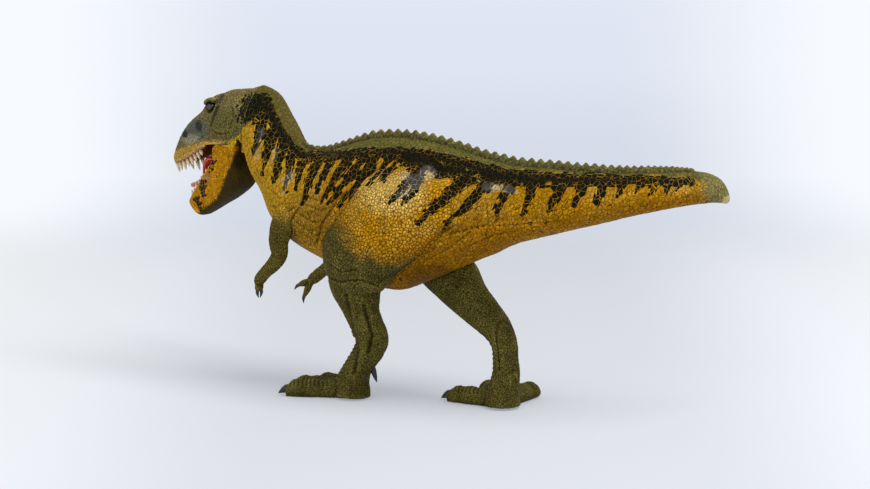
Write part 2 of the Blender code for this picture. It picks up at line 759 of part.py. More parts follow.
def teeth(frame, path, pitch, length, end_share):
    """All the teeth of one row as separate points on the gum bar; they shorten to end_share at the back."""

    def build(mesh):
        for number, (foot, along, way) in enumerate(tooth_places(path, pitch, GUM_THICKNESS)):
            out = Vector((0, 0, 1)).cross(along)
            side_way = abs(way - 0.5) * 2
            size = 1 - (1 - end_share) * side_way**TOOTH_SHRINK_POWER
            size *= FRONT_TOOTH_SHARE if side_way < FRONT_TEETH_RUN_SHARE else 1.0
            size *= 1.0 if number % 2 else UNEVEN_TOOTH_SHARE
            tooth(mesh, frame, foot, along, out, length * size, GUM_DEPTH * TOOTH_SINK_SHARE)

    return solid("teeth", build)


def largest_body(target):
    """Keep only the biggest separate shell of a mesh, so that a cut leaves no crumbs."""
    mesh = bmesh.new()
    mesh.from_mesh(target.data)
    left = set(mesh.verts)
    groups = []
    while left:
        start = left.pop()
        group = {start}
        edge = [start]
        while edge:
            vertex = edge.pop()
            for link in vertex.link_edges:
                other = link.other_vert(vertex)
                if other in left:
                    left.remove(other)
                    group.add(other)
                    edge.append(other)
        groups.append(group)
    groups.sort(key=len)
    crumbs = [vertex for group in groups[:-1] for vertex in group]
    bmesh.ops.delete(mesh, geom=crumbs, context="VERTS")
    mesh.to_mesh(target.data)
    mesh.free()
    return target


def upper_row():
    return arcade(SKULL_SHARES, upper_lip, UPPER_TOOTH_INSET, *UPPER_ROW_STATIONS)


def lower_row():
    return arcade(JAW_SHARES, lower_lip, LOWER_TOOTH_INSET, *LOWER_ROW_STATIONS)


def make_head():
    """Skull and upper jaw, with slots for the jaw's cheeks, a pin bore, a gum groove and a socket for the neck."""
    frame = head_frame()
    centre, outward = neck_end()
    first = [point + outward * FIT_GAP for point in body_ring(0)]
    last = len(SKULL_SHARES) - 1
    count = last * STEPS_BETWEEN_STATIONS
    rings = [first] + [skull_ring(last * k / count) for k in range(count + 1)]
    head = skin("head", rings)
    block_half = JAW_SLOT_INNER_SHARE * HEAD_WIDTH
    knuckle_ends = [place_in(frame, 0, sign * (block_half + CHEEK_WALL), 0) for sign in (LEFT, RIGHT)]
    join(head, rod("knuckle", *knuckle_ends, JAW_EAR_RADIUS))
    for sign in (LEFT, RIGHT):
        brow_centre = (EYE_AHEAD, -sign * BROW_OUT_SHARE * HEAD_WIDTH, EYE_UP + EYE_RADIUS * BROW_RISE_SHARE)
        brow_radii = [EYE_RADIUS * share for share in BROW_RADIUS_SHARES]
        join(head, ellipsoid("brow", frame, brow_centre, brow_radii))
        eye_centre = (EYE_AHEAD, -sign * EYE_OUT_SHARE * HEAD_WIDTH, EYE_UP)
        join(head, ellipsoid("eye", frame, eye_centre, (EYE_RADIUS, EYE_RADIUS, EYE_RADIUS)))
    for sign in (LEFT, RIGHT):
        cut(head, cheek_slot(sign, JAW_SIDE_GAP))
    cut(head, mouth_roof())
    cut(head, gum_bar("groove", frame, upper_row(), 1, FIT_GAP))
    bore_start = place_in(frame, 0, -HEAD_WIDTH, 0)
    bore_end = place_in(frame, 0, HEAD_WIDTH / 2 - CHEEK_WALL, 0)
    cut(head, rod("bore", bore_start, bore_end, PIN_RADIUS + PIN_FIT))
    peg_tip = centre + outward * (NECK_PEG_LENGTH + 2 * FIT_GAP)
    cut(head, rod("neck socket", centre - outward * WALL, peg_tip, NECK_PEG_RADIUS + FIT_GAP))
    return head


def cheek_slot(sign, gap):
    """The pocket between the skull's middle and its cheek that one side of the lower jaw swings in."""
    frame = head_frame()
    inner = JAW_SLOT_INNER_SHARE * HEAD_WIDTH
    round_radius = JAW_EAR_RADIUS + 2 * gap
    rings = []
    for share in SLOT_STATION_SHARES:
        forward = share * round_radius if share < 0 else share * SLOT_LENGTH
        outer = jaw_half_width(max(forward, 0)) + gap
        low = -2 * JAW_DEPTH
        top = CHEEK_FLAP_HEIGHT + 3 * gap
        if forward < 0:
            top = math.sqrt(round_radius**2 - forward**2) + gap
        corners = ((inner, low), (outer, low), (outer, top), (inner, top))
        rings.append([place_in(frame, forward, -sign * out, height) for out, height in corners])
    return skin("slot", rings)


def jaw_half_width(forward):
    (_, half_width) = reading(JAW_SHARES, forward / JAW_LENGTH)
    return half_width * HEAD_WIDTH


def mouth_roof():
    """The arched roof of the mouth, between the upper teeth."""
    frame = head_frame()
    rings = []
    for place, arch in MOUTH_ROOF_SHARES:
        forward, _, _, bottom, half_width = skull_at(place)
        out = half_width - UPPER_TOOTH_INSET - GUM_THICKNESS / 2 - FIT_GAP - GUM_WALL
        points = []
        for k in range(MOUTH_SIDES):
            across, rise = boxy(TAU * k / MOUTH_SIDES, MOUTH_ROOF_POWER)
            height = bottom + (arch if rise > 0 else MOUTH_ROOF_DROP_SHARE) * HEAD_HEIGHT * rise
            points.append(place_in(frame, forward, -out * across, height))
        rings.append(points)
    return skin("mouth roof", rings)


def jaw_ring(place):
    """One closed section of the lower jaw before the mouth is hollowed out, in the jaw's frame."""
    forward_share, bottom_share, width_share = spline(JAW_SHARES, place)
    forward = forward_share * JAW_LENGTH
    slope = (SLOT_LENGTH - CHEEK_WALL - forward) / (CHEEK_FLAP_HEIGHT * FLAP_SLOPE_SHARE)
    top = CHEEK_FLAP_HEIGHT * max(0.0, min(1.0, slope))
    bottom = bottom_share * JAW_DEPTH
    points = []
    for k in range(TRUNK_SIDES):
        upper = math.sin(TAU * k / TRUNK_SIDES) > 0
        across, rise = boxy(TAU * k / TRUNK_SIDES, JAW_FLAP_POWER if upper else JAW_POWER)
        height = top * rise if upper else bottom * rise
        points.append(Vector((forward, -width_share * HEAD_WIDTH * across, height)))
    return points


def make_lower_jaw():
    """The swinging lower jaw: two ears on the pin, a trough for the tongue and a groove for the tooth strip."""
    frame = jaw_frame()
    last = len(JAW_SHARES) - 1
    count = last * STEPS_BETWEEN_STATIONS
    rings = [jaw_ring(last * k / count) for k in range(count + 1)]
    jaw = skin("lower_jaw", [[frame @ point for point in ring] for ring in rings])
    behind = framed_block(
        "behind", frame, (-JAW_LENGTH, -HEAD_WIDTH, -HEAD_HEIGHT), (0, HEAD_WIDTH, HEAD_HEIGHT)
    )
    ear_ends = [place_in(frame, 0, sign * 2 * HEAD_WIDTH, 0) for sign in (LEFT, RIGHT)]
    cut(behind, rod("ear", *ear_ends, JAW_EAR_RADIUS))
    cut(jaw, behind)
    inner = JAW_SLOT_INNER_SHARE * HEAD_WIDTH + JAW_SIDE_GAP
    slot_steps = ((THROAT_START, 2 * JAW_DEPTH), (THROAT_END, THROAT_DEPTH), (SLOT_LENGTH, JAW_INNER_DROP))
    for reach, depth in slot_steps:
        low = (-JAW_LENGTH, -inner, -depth)
        high = (reach, inner, HEAD_HEIGHT)
        cut(jaw, framed_block("middle slot", frame, low, high))
    cut(jaw, mouth_floor())
    cut(jaw, gum_bar("groove", frame, lower_row(), -1, FIT_GAP))
    bore_ends = [place_in(frame, 0, sign * HEAD_WIDTH, 0) for sign in (LEFT, RIGHT)]
    cut(jaw, rod("bore", *bore_ends, PIN_RADIUS + PIN_FIT))
    return jaw


def mouth_floor():
    """The trough between the lower teeth."""
    frame = jaw_frame()
    rings = []
    for share, sink in MOUTH_FLOOR_SHARES:
        forward = share * JAW_LENGTH
        out = jaw_half_width(forward) - LOWER_TOOTH_INSET - GUM_THICKNESS / 2 - FIT_GAP - GUM_WALL
        points = []
        for k in range(MOUTH_SIDES):
            across, rise = boxy(TAU * k / MOUTH_SIDES, MOUTH_FLOOR_POWER)
            height = (HEAD_HEIGHT if rise > 0 else sink * JAW_FLOOR_SHARE * JAW_DEPTH) * rise
            points.append(place_in(frame, forward, -out * across, height))
        rings.append(points)
    return skin("mouth floor", rings)


def make_pin():
    """The steel pin, driven in from the right cheek; it passes both ears and ends blind in the left cheek."""
    frame = head_frame()
    start = place_in(frame, 0, -(HEAD_WIDTH / 2 - CHEEK_WALL / 2), 0)
    end = place_in(frame, 0, HEAD_WIDTH / 2 - CHEEK_WALL - FIT_GAP, 0)
    return rod("jaw_pin", start, end, PIN_RADIUS)


def make_upper_teeth():
    frame = head_frame()
    path = upper_row()
    strip = gum_bar("upper_teeth", frame, path, 1)
    return join(strip, teeth(frame, path, UPPER_TOOTH_PITCH, -UPPER_TOOTH_LENGTH, UPPER_BACK_TOOTH_SHARE))


def make_lower_teeth():
    frame = jaw_frame()
    path = lower_row()
    strip = gum_bar("lower_teeth", frame, path, -1)
    return join(strip, teeth(frame, path, LOWER_TOOTH_PITCH, LOWER_TOOTH_LENGTH, LOWER_BACK_TOOTH_SHARE))


def make_tongue():
    frame = jaw_frame()
    seat = FIT_GAP + TONGUE_THICKNESS / 2 - JAW_FLOOR_SHARE * JAW_DEPTH
    rings = []
    last = len(TONGUE_SHARES) - 1
    for k in range(2 * last + 1):
        forward, height, width, thick, tilt = spline(TONGUE_SHARES, k / 2)
        centre = Vector((TONGUE_BACK + forward * TONGUE_LENGTH, 0, seat + height * TONGUE_LENGTH))
        side = Vector((0, -width * TONGUE_WIDTH / 2, 0))
        angle = math.radians(tilt)
        up = Vector((-math.sin(angle), 0, math.cos(angle))) * thick * TONGUE_THICKNESS / 2
        rings.append([frame @ point for point in oval(centre, side, up, MOUTH_SIDES)])
    return skin("tongue", rings)


def leg_ring(rows, place, side):
    """Centre, fore vector and side vector of a leg's section."""
    back, out, height, fore, wide = spline(rows, place)
    low = spline(rows, min(place + LIMB_STEP, len(rows) - 1))
    high = spline(rows, max(place - LIMB_STEP, 0))
    lean = math.atan2((low[0] - high[0]) * TORSO_LENGTH, (high[2] - low[2]) * HIP_HEIGHT)
    lean *= max(0.0, min(1.0, (THIN_SHARE - fore) / (THIN_SHARE / 2)))
    centre = Vector((back * TORSO_LENGTH, side * out * HIP_WIDTH, height * HIP_HEIGHT))
    fore_vector = Vector((math.cos(lean), 0, math.sin(lean))) * fore * THIGH_LENGTH
    side_vector = Vector((0, wide * THIGH_BULGE, 0))
    return centre, fore_vector, side_vector


def claw_rings(start, along, length, radius, droop, sides):
    """Sections of a curved, pointed claw that leaves its start along one way and bends down."""
    across = Vector((0, 0, 1)).cross(along).normalized()
    up = along.cross(across)
    rings = []
    for share, fat in CLAW_SHARES:
        centre = start + along * length * share - up * length * droop * share**2
        rings.append(oval(centre, across * radius * fat * CLAW_FLATNESS_SHARE, up * radius * fat, sides))
    return rings


def toe(side, foot, angle, reach):
    """One toe with its knuckles and its claw, from the middle of the foot outward."""
    along = Vector((-math.cos(angle), side * math.sin(angle), 0))
    across = Vector((0, 0, 1)).cross(along)
    rings = []
    for share, fat in TOE_SHARES:
        radius = fat * TOE_RADIUS
        middle = foot + along * share * reach
        middle.z = radius * TOE_FLATNESS_SHARE - SOLE_CUT
        up = Vector((0, 0, radius * TOE_FLATNESS_SHARE))
        rings.append(oval(middle, across * radius, up, TOE_SIDES))
    root = foot + along * reach
    root.z = CLAW_HEIGHT_SHARE * TOE_RADIUS
    return skin("toe", rings + claw_rings(root, along, CLAW_LENGTH, CLAW_RADIUS, CLAW_DROOP_SHARE, TOE_SIDES))


def make_leg(name, rows, side):
    """One glued-in leg: hip muscle, shank, foot, three toes and claws, with a peg for the trunk's hip socket."""
    last = len(rows) - 1
    rings = []
    for k in range(last + 1):
        centre, fore, out = leg_ring(rows, k, side)
        rings.append(oval(centre, fore, out, LIMB_SIDES))
    leg = skin(name, rings)
    foot = leg_ring(rows, last, side)[0]
    for angle, reach_share in zip(TOE_ANGLES[side], TOE_REACH_SHARES[side]):
        join(leg, toe(side, foot, math.radians(angle), reach_share * TOE_LENGTH))
    centre, back, out = leg_ring(rows, last - DEWCLAW_STATIONS_UP, side)
    spur = centre + back * DEWCLAW_BACK_SHARE - out * side * DEWCLAW_IN_SHARE
    down = Vector((math.sin(DEWCLAW_LEAN), 0, -math.cos(DEWCLAW_LEAN)))
    join(leg, skin("dewclaw", claw_rings(spur, down, DEWCLAW_LENGTH, CLAW_RADIUS, 0, TOE_SIDES)))
    low = (-FAR, -FAR, -FAR)
    cut(leg, block("ground", low, (FAR, FAR, 0)))
    cut(leg, body_loft("trunk space", 0, SEAM_STATION + 1, FIT_GAP))
    largest_body(leg)
    peg_start = Vector((HIP_AXIS_X, side * (TORSO_WIDTH / 2 + WALL), HIP_HEIGHT))
    peg_end = Vector((HIP_AXIS_X, side * (TORSO_WIDTH / 2 - HIP_PEG_DEPTH), HIP_HEIGHT))
    join(leg, rod("hip peg", peg_start, peg_end, HIP_PEG_RADIUS))
    return leg


def arm_centre(rows, place, side):
    forward, down, out, radius = spline(rows, place)
    x = SHOULDER_X - forward * ARM_LENGTH
    z = SHOULDER_Z - down * ARM_LENGTH
    return Vector((x, side * out * SHOULDER_WIDTH, z)), radius * ARM_RADIUS


def make_arm(name, rows, side):
    """One short arm with two clawed fingers and a peg for the trunk's shoulder socket."""
    last = len(rows) - 1
    rings = []
    for place in range(last + 1):
        centre, radius = arm_centre(rows, place, side)
        ahead = arm_centre(rows, min(place + LIMB_STEP, last), side)[0]
        behind = arm_centre(rows, max(place - LIMB_STEP, 0), side)[0]
        along = (ahead - behind).normalized()
        across = along.cross(Vector((0, 1, 0))).normalized()
        rings.append(oval(centre, across * radius, along.cross(across) * radius * ARM_FLATNESS_SHARE, TOE_SIDES))
    arm = skin(name, rings)
    palm = arm_centre(rows, last - PALM_STATIONS_UP, side)[0]
    reach = FINGER_REACH_SHARES[side] * FINGER_LENGTH
    for angle, lean in FINGER_ANGLES[side]:
        way = Vector((-math.cos(math.radians(angle)), lean, -math.sin(math.radians(angle)))).normalized()
        across = Vector((0, 0, 1)).cross(way).normalized()
        finger = []
        for share, fat in FINGER_SHARES:
            middle = palm + way * share * reach
            thick = fat * FINGER_RADIUS
            finger.append(oval(middle, across * thick, across.cross(way) * thick, FINGER_SIDES))
        tip = palm + way * reach
        nail = FINGER_RADIUS * FINGER_CLAW_SHARE
        finger += claw_rings(tip, way, FINGER_CLAW_LENGTH, nail, CLAW_DROOP_SHARE, FINGER_SIDES)
        join(arm, skin("finger", finger))
    cut(arm, body_loft("trunk space", 0, SEAM_STATION, FIT_GAP))
    largest_body(arm)
    start = Vector((SHOULDER_X, side * TORSO_WIDTH / 2, SHOULDER_Z - SHOULDER_DROP))
    end = start - Vector((0, side * SHOULDER_PEG_LENGTH, 0))
    join(arm, rod("shoulder peg", start, end, SHOULDER_PEG_RADIUS))
    return arm


def side_half(name, side):
    """Everything on one side of the glued seam, and half the glue line beyond it; it follows the neck's sway."""
    line = []
    for k in range(SEAM_STEPS + 1):
        centre = body_section(SEAM_STATION * k / SEAM_STEPS)[0]
        line.append((centre.x, centre.y - side * GLUE_LINE / 2))
    line.sort()
    line[0] = (-FAR, line[0][1])
    line[-1] = (FAR, line[-1][1])

    def build(mesh):
        near = [mesh.verts.new((x, y, -FAR)) for x, y in line]
        far = [mesh.verts.new((x, y, FAR)) for x, y in line]
        outer_near = [mesh.verts.new((x, side * FAR, -FAR)) for x, _ in line]
        outer_far = [mesh.verts.new((x, side * FAR, FAR)) for x, _ in line]
        strips = ((near, far), (far, outer_far), (outer_far, outer_near), (outer_near, near))
        for first, second in strips:
            for i in range(len(line) - 1):
                mesh.faces.new((first[i], first[i + 1], second[i + 1], second[i]))
        for i in (0, -1):
            mesh.faces.new((near[i], far[i], outer_far[i], outer_near[i]))

    return solid(name, build)


def neck_peg():
    centre, outward = neck_end()
    return rod("neck peg", centre - outward * WALL, centre + outward * NECK_PEG_LENGTH, NECK_PEG_RADIUS)


def ear_relief():
    """Room in the neck's end for the jaw's right ear, which the turned head brings back towards it."""
    frame = head_frame()
    inner = -JAW_SLOT_INNER_SHARE * HEAD_WIDTH
    outer = -jaw_half_width(0) - 2 * JAW_SIDE_GAP
    ends = [place_in(frame, 0, out, 0) for out in (inner, outer)]
    return rod("ear relief", *ends, JAW_EAR_RADIUS + 3 * JAW_SIDE_GAP)


def tail_peg(grow=0.0):
    centre = body_section(SEAM_STATION)[0]
    start = Vector((SEAM_X + WALL, centre.y, centre.z))
    end = Vector((SEAM_X - TAIL_PEG_LENGTH - grow, centre.y, centre.z))
    return rod("tail peg", start, end, TAIL_PEG_RADIUS + grow)


def hollow():
    """The space inside the trunk, left open around the hip boss."""
    space = body_loft("hollow", *HOLLOW_STATIONS, -WALL)
    boss_start = Vector((HIP_AXIS_X, -TORSO_WIDTH, HIP_HEIGHT))
    boss_end = Vector((HIP_AXIS_X, TORSO_WIDTH, HIP_HEIGHT))
    return cut(space, rod("hip boss", boss_start, boss_end, HIP_BOSS_RADIUS))


def make_trunk_and_tail():
    """The body from the neck to the tail's tip, parted at the tail seam and again down the middle of the trunk."""
    body = body_loft("torso_left_half", 0, len(STATIONS) - 1)
    join(body, crest())
    tail = copy_of(body, "tail")
    cut(body, block("tail side", (SEAM_X - FIT_GAP / 2, -FAR, -FAR), (FAR, FAR, FAR)))
    cut(tail, block("trunk side", (-FAR, -FAR, -FAR), (SEAM_X + FIT_GAP / 2, FAR, FAR)))
    join(tail, tail_peg())
    join(body, neck_peg())
    cut(body, ear_relief())
    cut(body, tail_peg(FIT_GAP))
    cut(body, hollow())
    for side in (LEFT, RIGHT):
        socket_start = Vector((HIP_AXIS_X, side * TORSO_WIDTH, HIP_HEIGHT))
        socket_end = Vector((HIP_AXIS_X, side * (TORSO_WIDTH / 2 - HIP_PEG_DEPTH - FIT_GAP), HIP_HEIGHT))
        cut(body, rod("hip socket", socket_start, socket_end, HIP_PEG_RADIUS + FIT_GAP))
        outer = Vector((SHOULDER_X, side * TORSO_WIDTH, SHOULDER_Z - SHOULDER_DROP))
        inner = outer - Vector((0, side * (TORSO_WIDTH / 2 + SHOULDER_PEG_LENGTH + FIT_GAP), 0))
        cut(body, rod("shoulder socket", outer, inner, SHOULDER_PEG_RADIUS + FIT_GAP))
    right = copy_of(body, "torso_right_half")
    cut(body, side_half("right side", RIGHT))
    cut(right, side_half("left side", LEFT))
    for place, height_share in ALIGNMENT_PINS:
        centre, _, up = body_section(place)
        middle = centre + up * height_share
        reach = Vector((0, ALIGNMENT_PIN_LENGTH, 0))
        join(body, rod("alignment pin", middle - reach, middle + reach, ALIGNMENT_PIN_RADIUS, LIMB_SIDES))
        hole_end = middle + reach + Vector((0, FIT_GAP, 0))
        cut(right, rod("hole", middle - reach, hole_end, ALIGNMENT_PIN_RADIUS + FIT_GAP, LIMB_SIDES))
    return body, right, tail


def ground_shift(pieces):
    """The move that puts the ground under the middle of all the pieces at the world's origin."""
    low = Vector((math.inf,) * 3)
    high = Vector((-math.inf,) * 3)
    for piece in pieces:
        for vertex in piece.data.vertices:
            low = Vector(map(min, low, vertex.co))
            high = Vector(map(max, high, vertex.co))
    return Vector((-(low.x + high.x) / 2, -(low.y + high.y) / 2, -low.z))


def finish(piece, parent, paint):
    """Give a piece its paint and shading, and hang it on its parent."""
    piece.data.materials.clear()
    piece.data.materials.append(paint)
    piece.data.shade_smooth()
    piece.data.set_sharp_from_angle(angle=SHARP_ANGLE)
    piece.parent = parent


def empty(name, location):
    made = bpy.data.objects.new(name, None)
    made.location = location
    bpy.context.scene.collection.objects.link(made)
    return made


def main():
    for old in list(bpy.data.objects):
        bpy.data.objects.remove(old, do_unlink=True)
    left_half, right_half, tail = make_trunk_and_tail()
    head = make_head()
    jaw = make_lower_jaw()
    pin = make_pin()
    upper = make_upper_teeth()
    lower = make_lower_teeth()
    tongue = make_tongue()
    limbs = [
        make_leg("left_leg", LEFT_LEG_SHARES, LEFT),
        make_leg("right_leg", RIGHT_LEG_SHARES, RIGHT),
        make_arm("left_arm", LEFT_ARM_SHARES, LEFT),
        make_arm("right_arm", RIGHT_ARM_SHARES, RIGHT),
    ]
    fixed = [left_half, right_half, tail, head, pin, upper, *limbs]
    swinging = [jaw, lower, tongue]
    figure = empty("figure", ground_shift(fixed + swinging))
    hinge = empty("jaw_hinge", head_frame().translation)
    hinge.parent = figure
    paints = {
        "jaw_pin": material("steel", STEEL, 0.3, 1.0),
        "upper_teeth": material("upper tooth ivory", IVORY, 0.4),
        "lower_teeth": material("lower tooth ivory", IVORY, 0.4),
        "tongue": material("tongue red", TONGUE_RED, 0.35),
    }
    for piece in fixed:
        colour = OLIVE if piece in limbs or piece is head else OCHRE
        paint = paints.get(piece.name) or material(f"{piece.name} paint", colour, 0.55)
        finish(piece, figure, paint)
    for piece in swinging:
        paint = paints.get(piece.name) or material(f"{piece.name} paint", OCHRE, 0.55)
        piece.data.transform(Matrix.Translation(-head_frame().translation))
        finish(piece, hinge, paint)


main()
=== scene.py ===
"""Looks of the toy dinosaur: painted, scaly skins, claws, eyes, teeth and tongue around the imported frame.

Everything is built in the figure's own frame, where part.py draws it, and moved by one shift into the row frame.
"""

import json
import math

import bmesh
import bpy
import numpy as np
from mathutils import Matrix, Vector
from mathutils.bvhtree import BVHTree


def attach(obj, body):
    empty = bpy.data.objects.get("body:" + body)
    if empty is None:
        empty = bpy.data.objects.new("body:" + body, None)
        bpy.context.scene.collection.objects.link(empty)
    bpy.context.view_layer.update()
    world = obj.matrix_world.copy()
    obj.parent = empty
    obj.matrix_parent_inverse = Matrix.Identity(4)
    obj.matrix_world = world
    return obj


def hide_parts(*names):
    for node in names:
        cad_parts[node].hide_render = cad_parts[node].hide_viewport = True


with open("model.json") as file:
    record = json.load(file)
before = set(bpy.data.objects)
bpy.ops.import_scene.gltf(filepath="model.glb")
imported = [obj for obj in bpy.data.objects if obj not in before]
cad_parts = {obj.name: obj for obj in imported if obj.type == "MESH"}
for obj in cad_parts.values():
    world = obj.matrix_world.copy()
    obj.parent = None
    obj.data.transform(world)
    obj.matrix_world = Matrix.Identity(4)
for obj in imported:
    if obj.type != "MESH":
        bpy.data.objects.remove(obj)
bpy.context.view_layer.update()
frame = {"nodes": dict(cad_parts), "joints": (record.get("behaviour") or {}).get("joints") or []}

TAU = math.tau
UP = Vector((0, 0, 1))
MILLIMETRE = 0.001
LEFT = -1
RIGHT = 1

# Camera of the photograph. A place in the photograph is given as (pixels right, pixels down).
PHOTO_WIDTH = 870
PHOTO_HEIGHT = 489
FOCAL_PIXELS = 2054
SENSOR_WIDTH = 36
AZIMUTH = math.radians(30)
ELEVATION = math.radians(8.5)
CAMERA_DISTANCE = 0.924
CAMERA_TARGET = Vector((0.004, 0, 0.073))
LEVEL = math.cos(ELEVATION)
LOOK_BACK = Vector((math.sin(AZIMUTH) * LEVEL, -math.cos(AZIMUTH) * LEVEL, math.sin(ELEVATION)))
LOOK = (-LOOK_BACK).to_track_quat("-Z", "Y")
CAMERA_PLACE = CAMERA_TARGET + LOOK_BACK * CAMERA_DISTANCE
AWAY = Vector((-LOOK_BACK.x, -LOOK_BACK.y, 0)).normalized()
ACROSS = UP.cross(AWAY)  # to the photograph's left

# Sizes that part.py uses too, in metres, and shares of them
TORSO_LENGTH = 0.100
TORSO_DEPTH = 0.070
TORSO_WIDTH = 0.042
HIP_HEIGHT = 0.086
NECK_SWAY = 0.0045
TAIL_REACH = 0.0775
TAIL_SWEEP = 0.050
BACK_TAPER_SHARE = 0.24
FIT_GAP = 0.0003
CREST_RISE = 0.0016
CREST_ROOT = 0.0030
CREST_THICKNESS = 0.0034
CREST_EDGE_SHARE = 0.42
CREST_TOOTH_HEIGHT = 0.0021
CREST_TOOTH_PITCH = 0.0046
CREST_START_SHARE = 0.35
CREST_FADE_SHARE = 0.10
HEAD_LENGTH = 0.060
HEAD_HEIGHT = 0.026
HEAD_WIDTH = 0.0245
HEAD_TURN = math.radians(19)
HEAD_DIP = math.radians(16)
HINGE_AHEAD = 0.0073
HINGE_BELOW = 0.0070
CHEEK_WALL = 0.0015
SKULL_WAIST_SHARE = 0.30
SKULL_TAPER_SHARE = 0.40
SKULL_TOP_POWER = 2.2
SKULL_BASE_POWER = 9.0
MOUTH_ROOF_POWER = 2.6
MOUTH_ROOF_DROP_SHARE = 0.25
EYE_RADIUS = 0.0023
EYE_AHEAD = 0.0150
EYE_UP = 0.0175
EYE_OUT_SHARE = 0.36
EYE_SINK = 0.0017
EYE_RADIUS_SHARES = (0.80, 0.92, 0.80)
BROW_OUT_SHARE = 0.31
BROW_RISE_SHARE = 1.15
BROW_RADIUS_SHARES = (2.1, 0.88, 0.72)
JAW_LENGTH = 0.0575
JAW_DEPTH = 0.0115
GAPE = math.radians(24)
JAW_POWER = 3.0
JAW_FLAP_POWER = 8.0
JAW_FLOOR_SHARE = 0.42
MOUTH_FLOOR_POWER = 3.0
CHEEK_FLAP_HEIGHT = 0.0060
FLAP_SLOPE_SHARE = 0.70
JAW_EAR_RADIUS = 0.0052
JAW_SIDE_GAP = 0.0003
JAW_SLOT_INNER_SHARE = 0.245
SLOT_LENGTH = 0.0225
SLOT_STATION_SHARES = (-1.0, -0.85, -0.5, 0.0, 0.33, 0.67, 1.0)
THROAT_START = 0.0070
THROAT_END = 0.0140
THROAT_DEPTH = 0.0078
JAW_INNER_DROP = 0.0022
GUM_THICKNESS = 0.0016
GUM_WALL = 0.0006
GUM_DEPTH = 0.0022
GUM_POWER = 4
UPPER_TOOTH_LENGTH = 0.0056
LOWER_TOOTH_LENGTH = 0.0046
TOOTH_THICKNESS = 0.0027
UPPER_TOOTH_PITCH = 0.0039
LOWER_TOOTH_PITCH = 0.0036
UPPER_TOOTH_INSET = 0.0012
LOWER_TOOTH_INSET = 0.0029
LOWER_ROW_INSET = 0.0028  # shown a little farther out than the strip in its groove
UPPER_ROW_STATIONS = (4.1, 8.8)
LOWER_ROW_STATIONS = (3.7, 6.6)
FRONT_BULGE_SHARE = 0.70
FRONT_TOOTH_SHARE = 0.62
FRONT_TEETH_RUN_SHARE = 0.12
UNEVEN_TOOTH_SHARE = 0.86
UPPER_BACK_TOOTH_SHARE = 0.55
LOWER_BACK_TOOTH_SHARE = 0.60
TOOTH_SHRINK_POWER = 1.5
TONGUE_LENGTH = 0.041
TONGUE_WIDTH = 0.0080
TONGUE_THICKNESS = 0.0030
TONGUE_BACK = 0.0150
TONGUE_GROOVE_SHARE = 0.35
TONGUE_GROOVE_WIDTH_SHARE = 0.18
HIP_WIDTH = 0.0185
THIGH_LENGTH = 0.029
THIGH_BULGE = 0.0130
THIN_SHARE = 0.62
TOE_LENGTH = 0.031
TOE_RADIUS = 0.0052
TOE_FLATNESS_SHARE = 0.86
SOLE_CUT = 0.0006
CLAW_LENGTH = 0.0045
CLAW_RADIUS = 0.0021
CLAW_DROOP_SHARE = 0.50
CLAW_FLATNESS_SHARE = 0.80
CLAW_HEIGHT_SHARE = 0.65
DEWCLAW_LENGTH = 0.0075
DEWCLAW_RADIUS = 0.0016
DEWCLAW_STATIONS_UP = 3.6
DEWCLAW_BACK_SHARE = 0.75
DEWCLAW_IN_SHARE = 0.35
DEWCLAW_LEAN = math.radians(20)
ARM_LENGTH = 0.046
ARM_RADIUS = 0.0055
ARM_FLATNESS_SHARE = 0.85
SHOULDER_WIDTH = 0.019
SHOULDER_X = -0.064
SHOULDER_Z = 0.0850
PALM_STATIONS_UP = 0.6
FINGER_LENGTH = 0.0080
FINGER_RADIUS = 0.0016
FINGER_CLAW_LENGTH = 0.0030
FINGER_CLAW_SHARE = 0.55
FINGER_ANGLES = {LEFT: ((84, -0.20), (98, 0.20)), RIGHT: ((22, 0.10), (62, -0.05))}
FINGER_REACH_SHARES = {LEFT: 0.55, RIGHT: 1.20}
LIMB_STEP = 0.1
STATION_STEP = 0.05

# Each row is one station of the trunk: the back line and the belly line as x (share of TORSO_LENGTH, from the
# hips) and z (share of TORSO_DEPTH, from HIP_HEIGHT), the half width (share of TORSO_WIDTH) and the sideways
# lean (share of NECK_SWAY).
TRUNK_STATION_SHARES = (
    (-0.915, 0.786, -0.960, 0.300, 0.281, 1.00),
    (-0.830, 0.735, -0.930, 0.150, 0.290, 0.80),
    (-0.755, 0.590, -0.850, 0.010, 0.305, 0.55),
    (-0.670, 0.418, -0.770, -0.150, 0.360, 0.27),
    (-0.560, 0.375, -0.670, -0.255, 0.425, 0.10),
    (-0.430, 0.420, -0.520, -0.345, 0.465, 0.00),
    (-0.295, 0.474, -0.350, -0.435, 0.490, 0.00),
    (-0.140, 0.497, -0.160, -0.503, 0.500, 0.00),
    (0.015, 0.481, 0.000, -0.434, 0.490, 0.00),
    (0.170, 0.440, 0.150, -0.336, 0.450, 0.00),
    (0.320, 0.389, 0.310, -0.236, 0.400, 0.00),
    (0.460, 0.361, 0.455, -0.139, 0.348, 0.00),
)

# Each row is one station of the tail: x (share of TAIL_REACH, from the seam), the back and the belly z (shares of
# TORSO_DEPTH, from HIP_HEIGHT), the half width (share of TORSO_WIDTH) and the sideways sweep (share of
# TAIL_SWEEP).
TAIL_STATION_SHARES = (
    (0.20, 0.354, -0.069, 0.300, 0.02),
    (0.43, 0.343, 0.002, 0.252, 0.08),
    (0.63, 0.340, 0.064, 0.212, 0.19),
    (0.79, 0.345, 0.108, 0.176, 0.34),
    (0.90, 0.343, 0.130, 0.143, 0.52),
    (0.97, 0.322, 0.135, 0.112, 0.70),
    (1.00, 0.265, 0.124, 0.081, 0.86),
    (1.00, 0.180, 0.110, 0.045, 0.98),
)

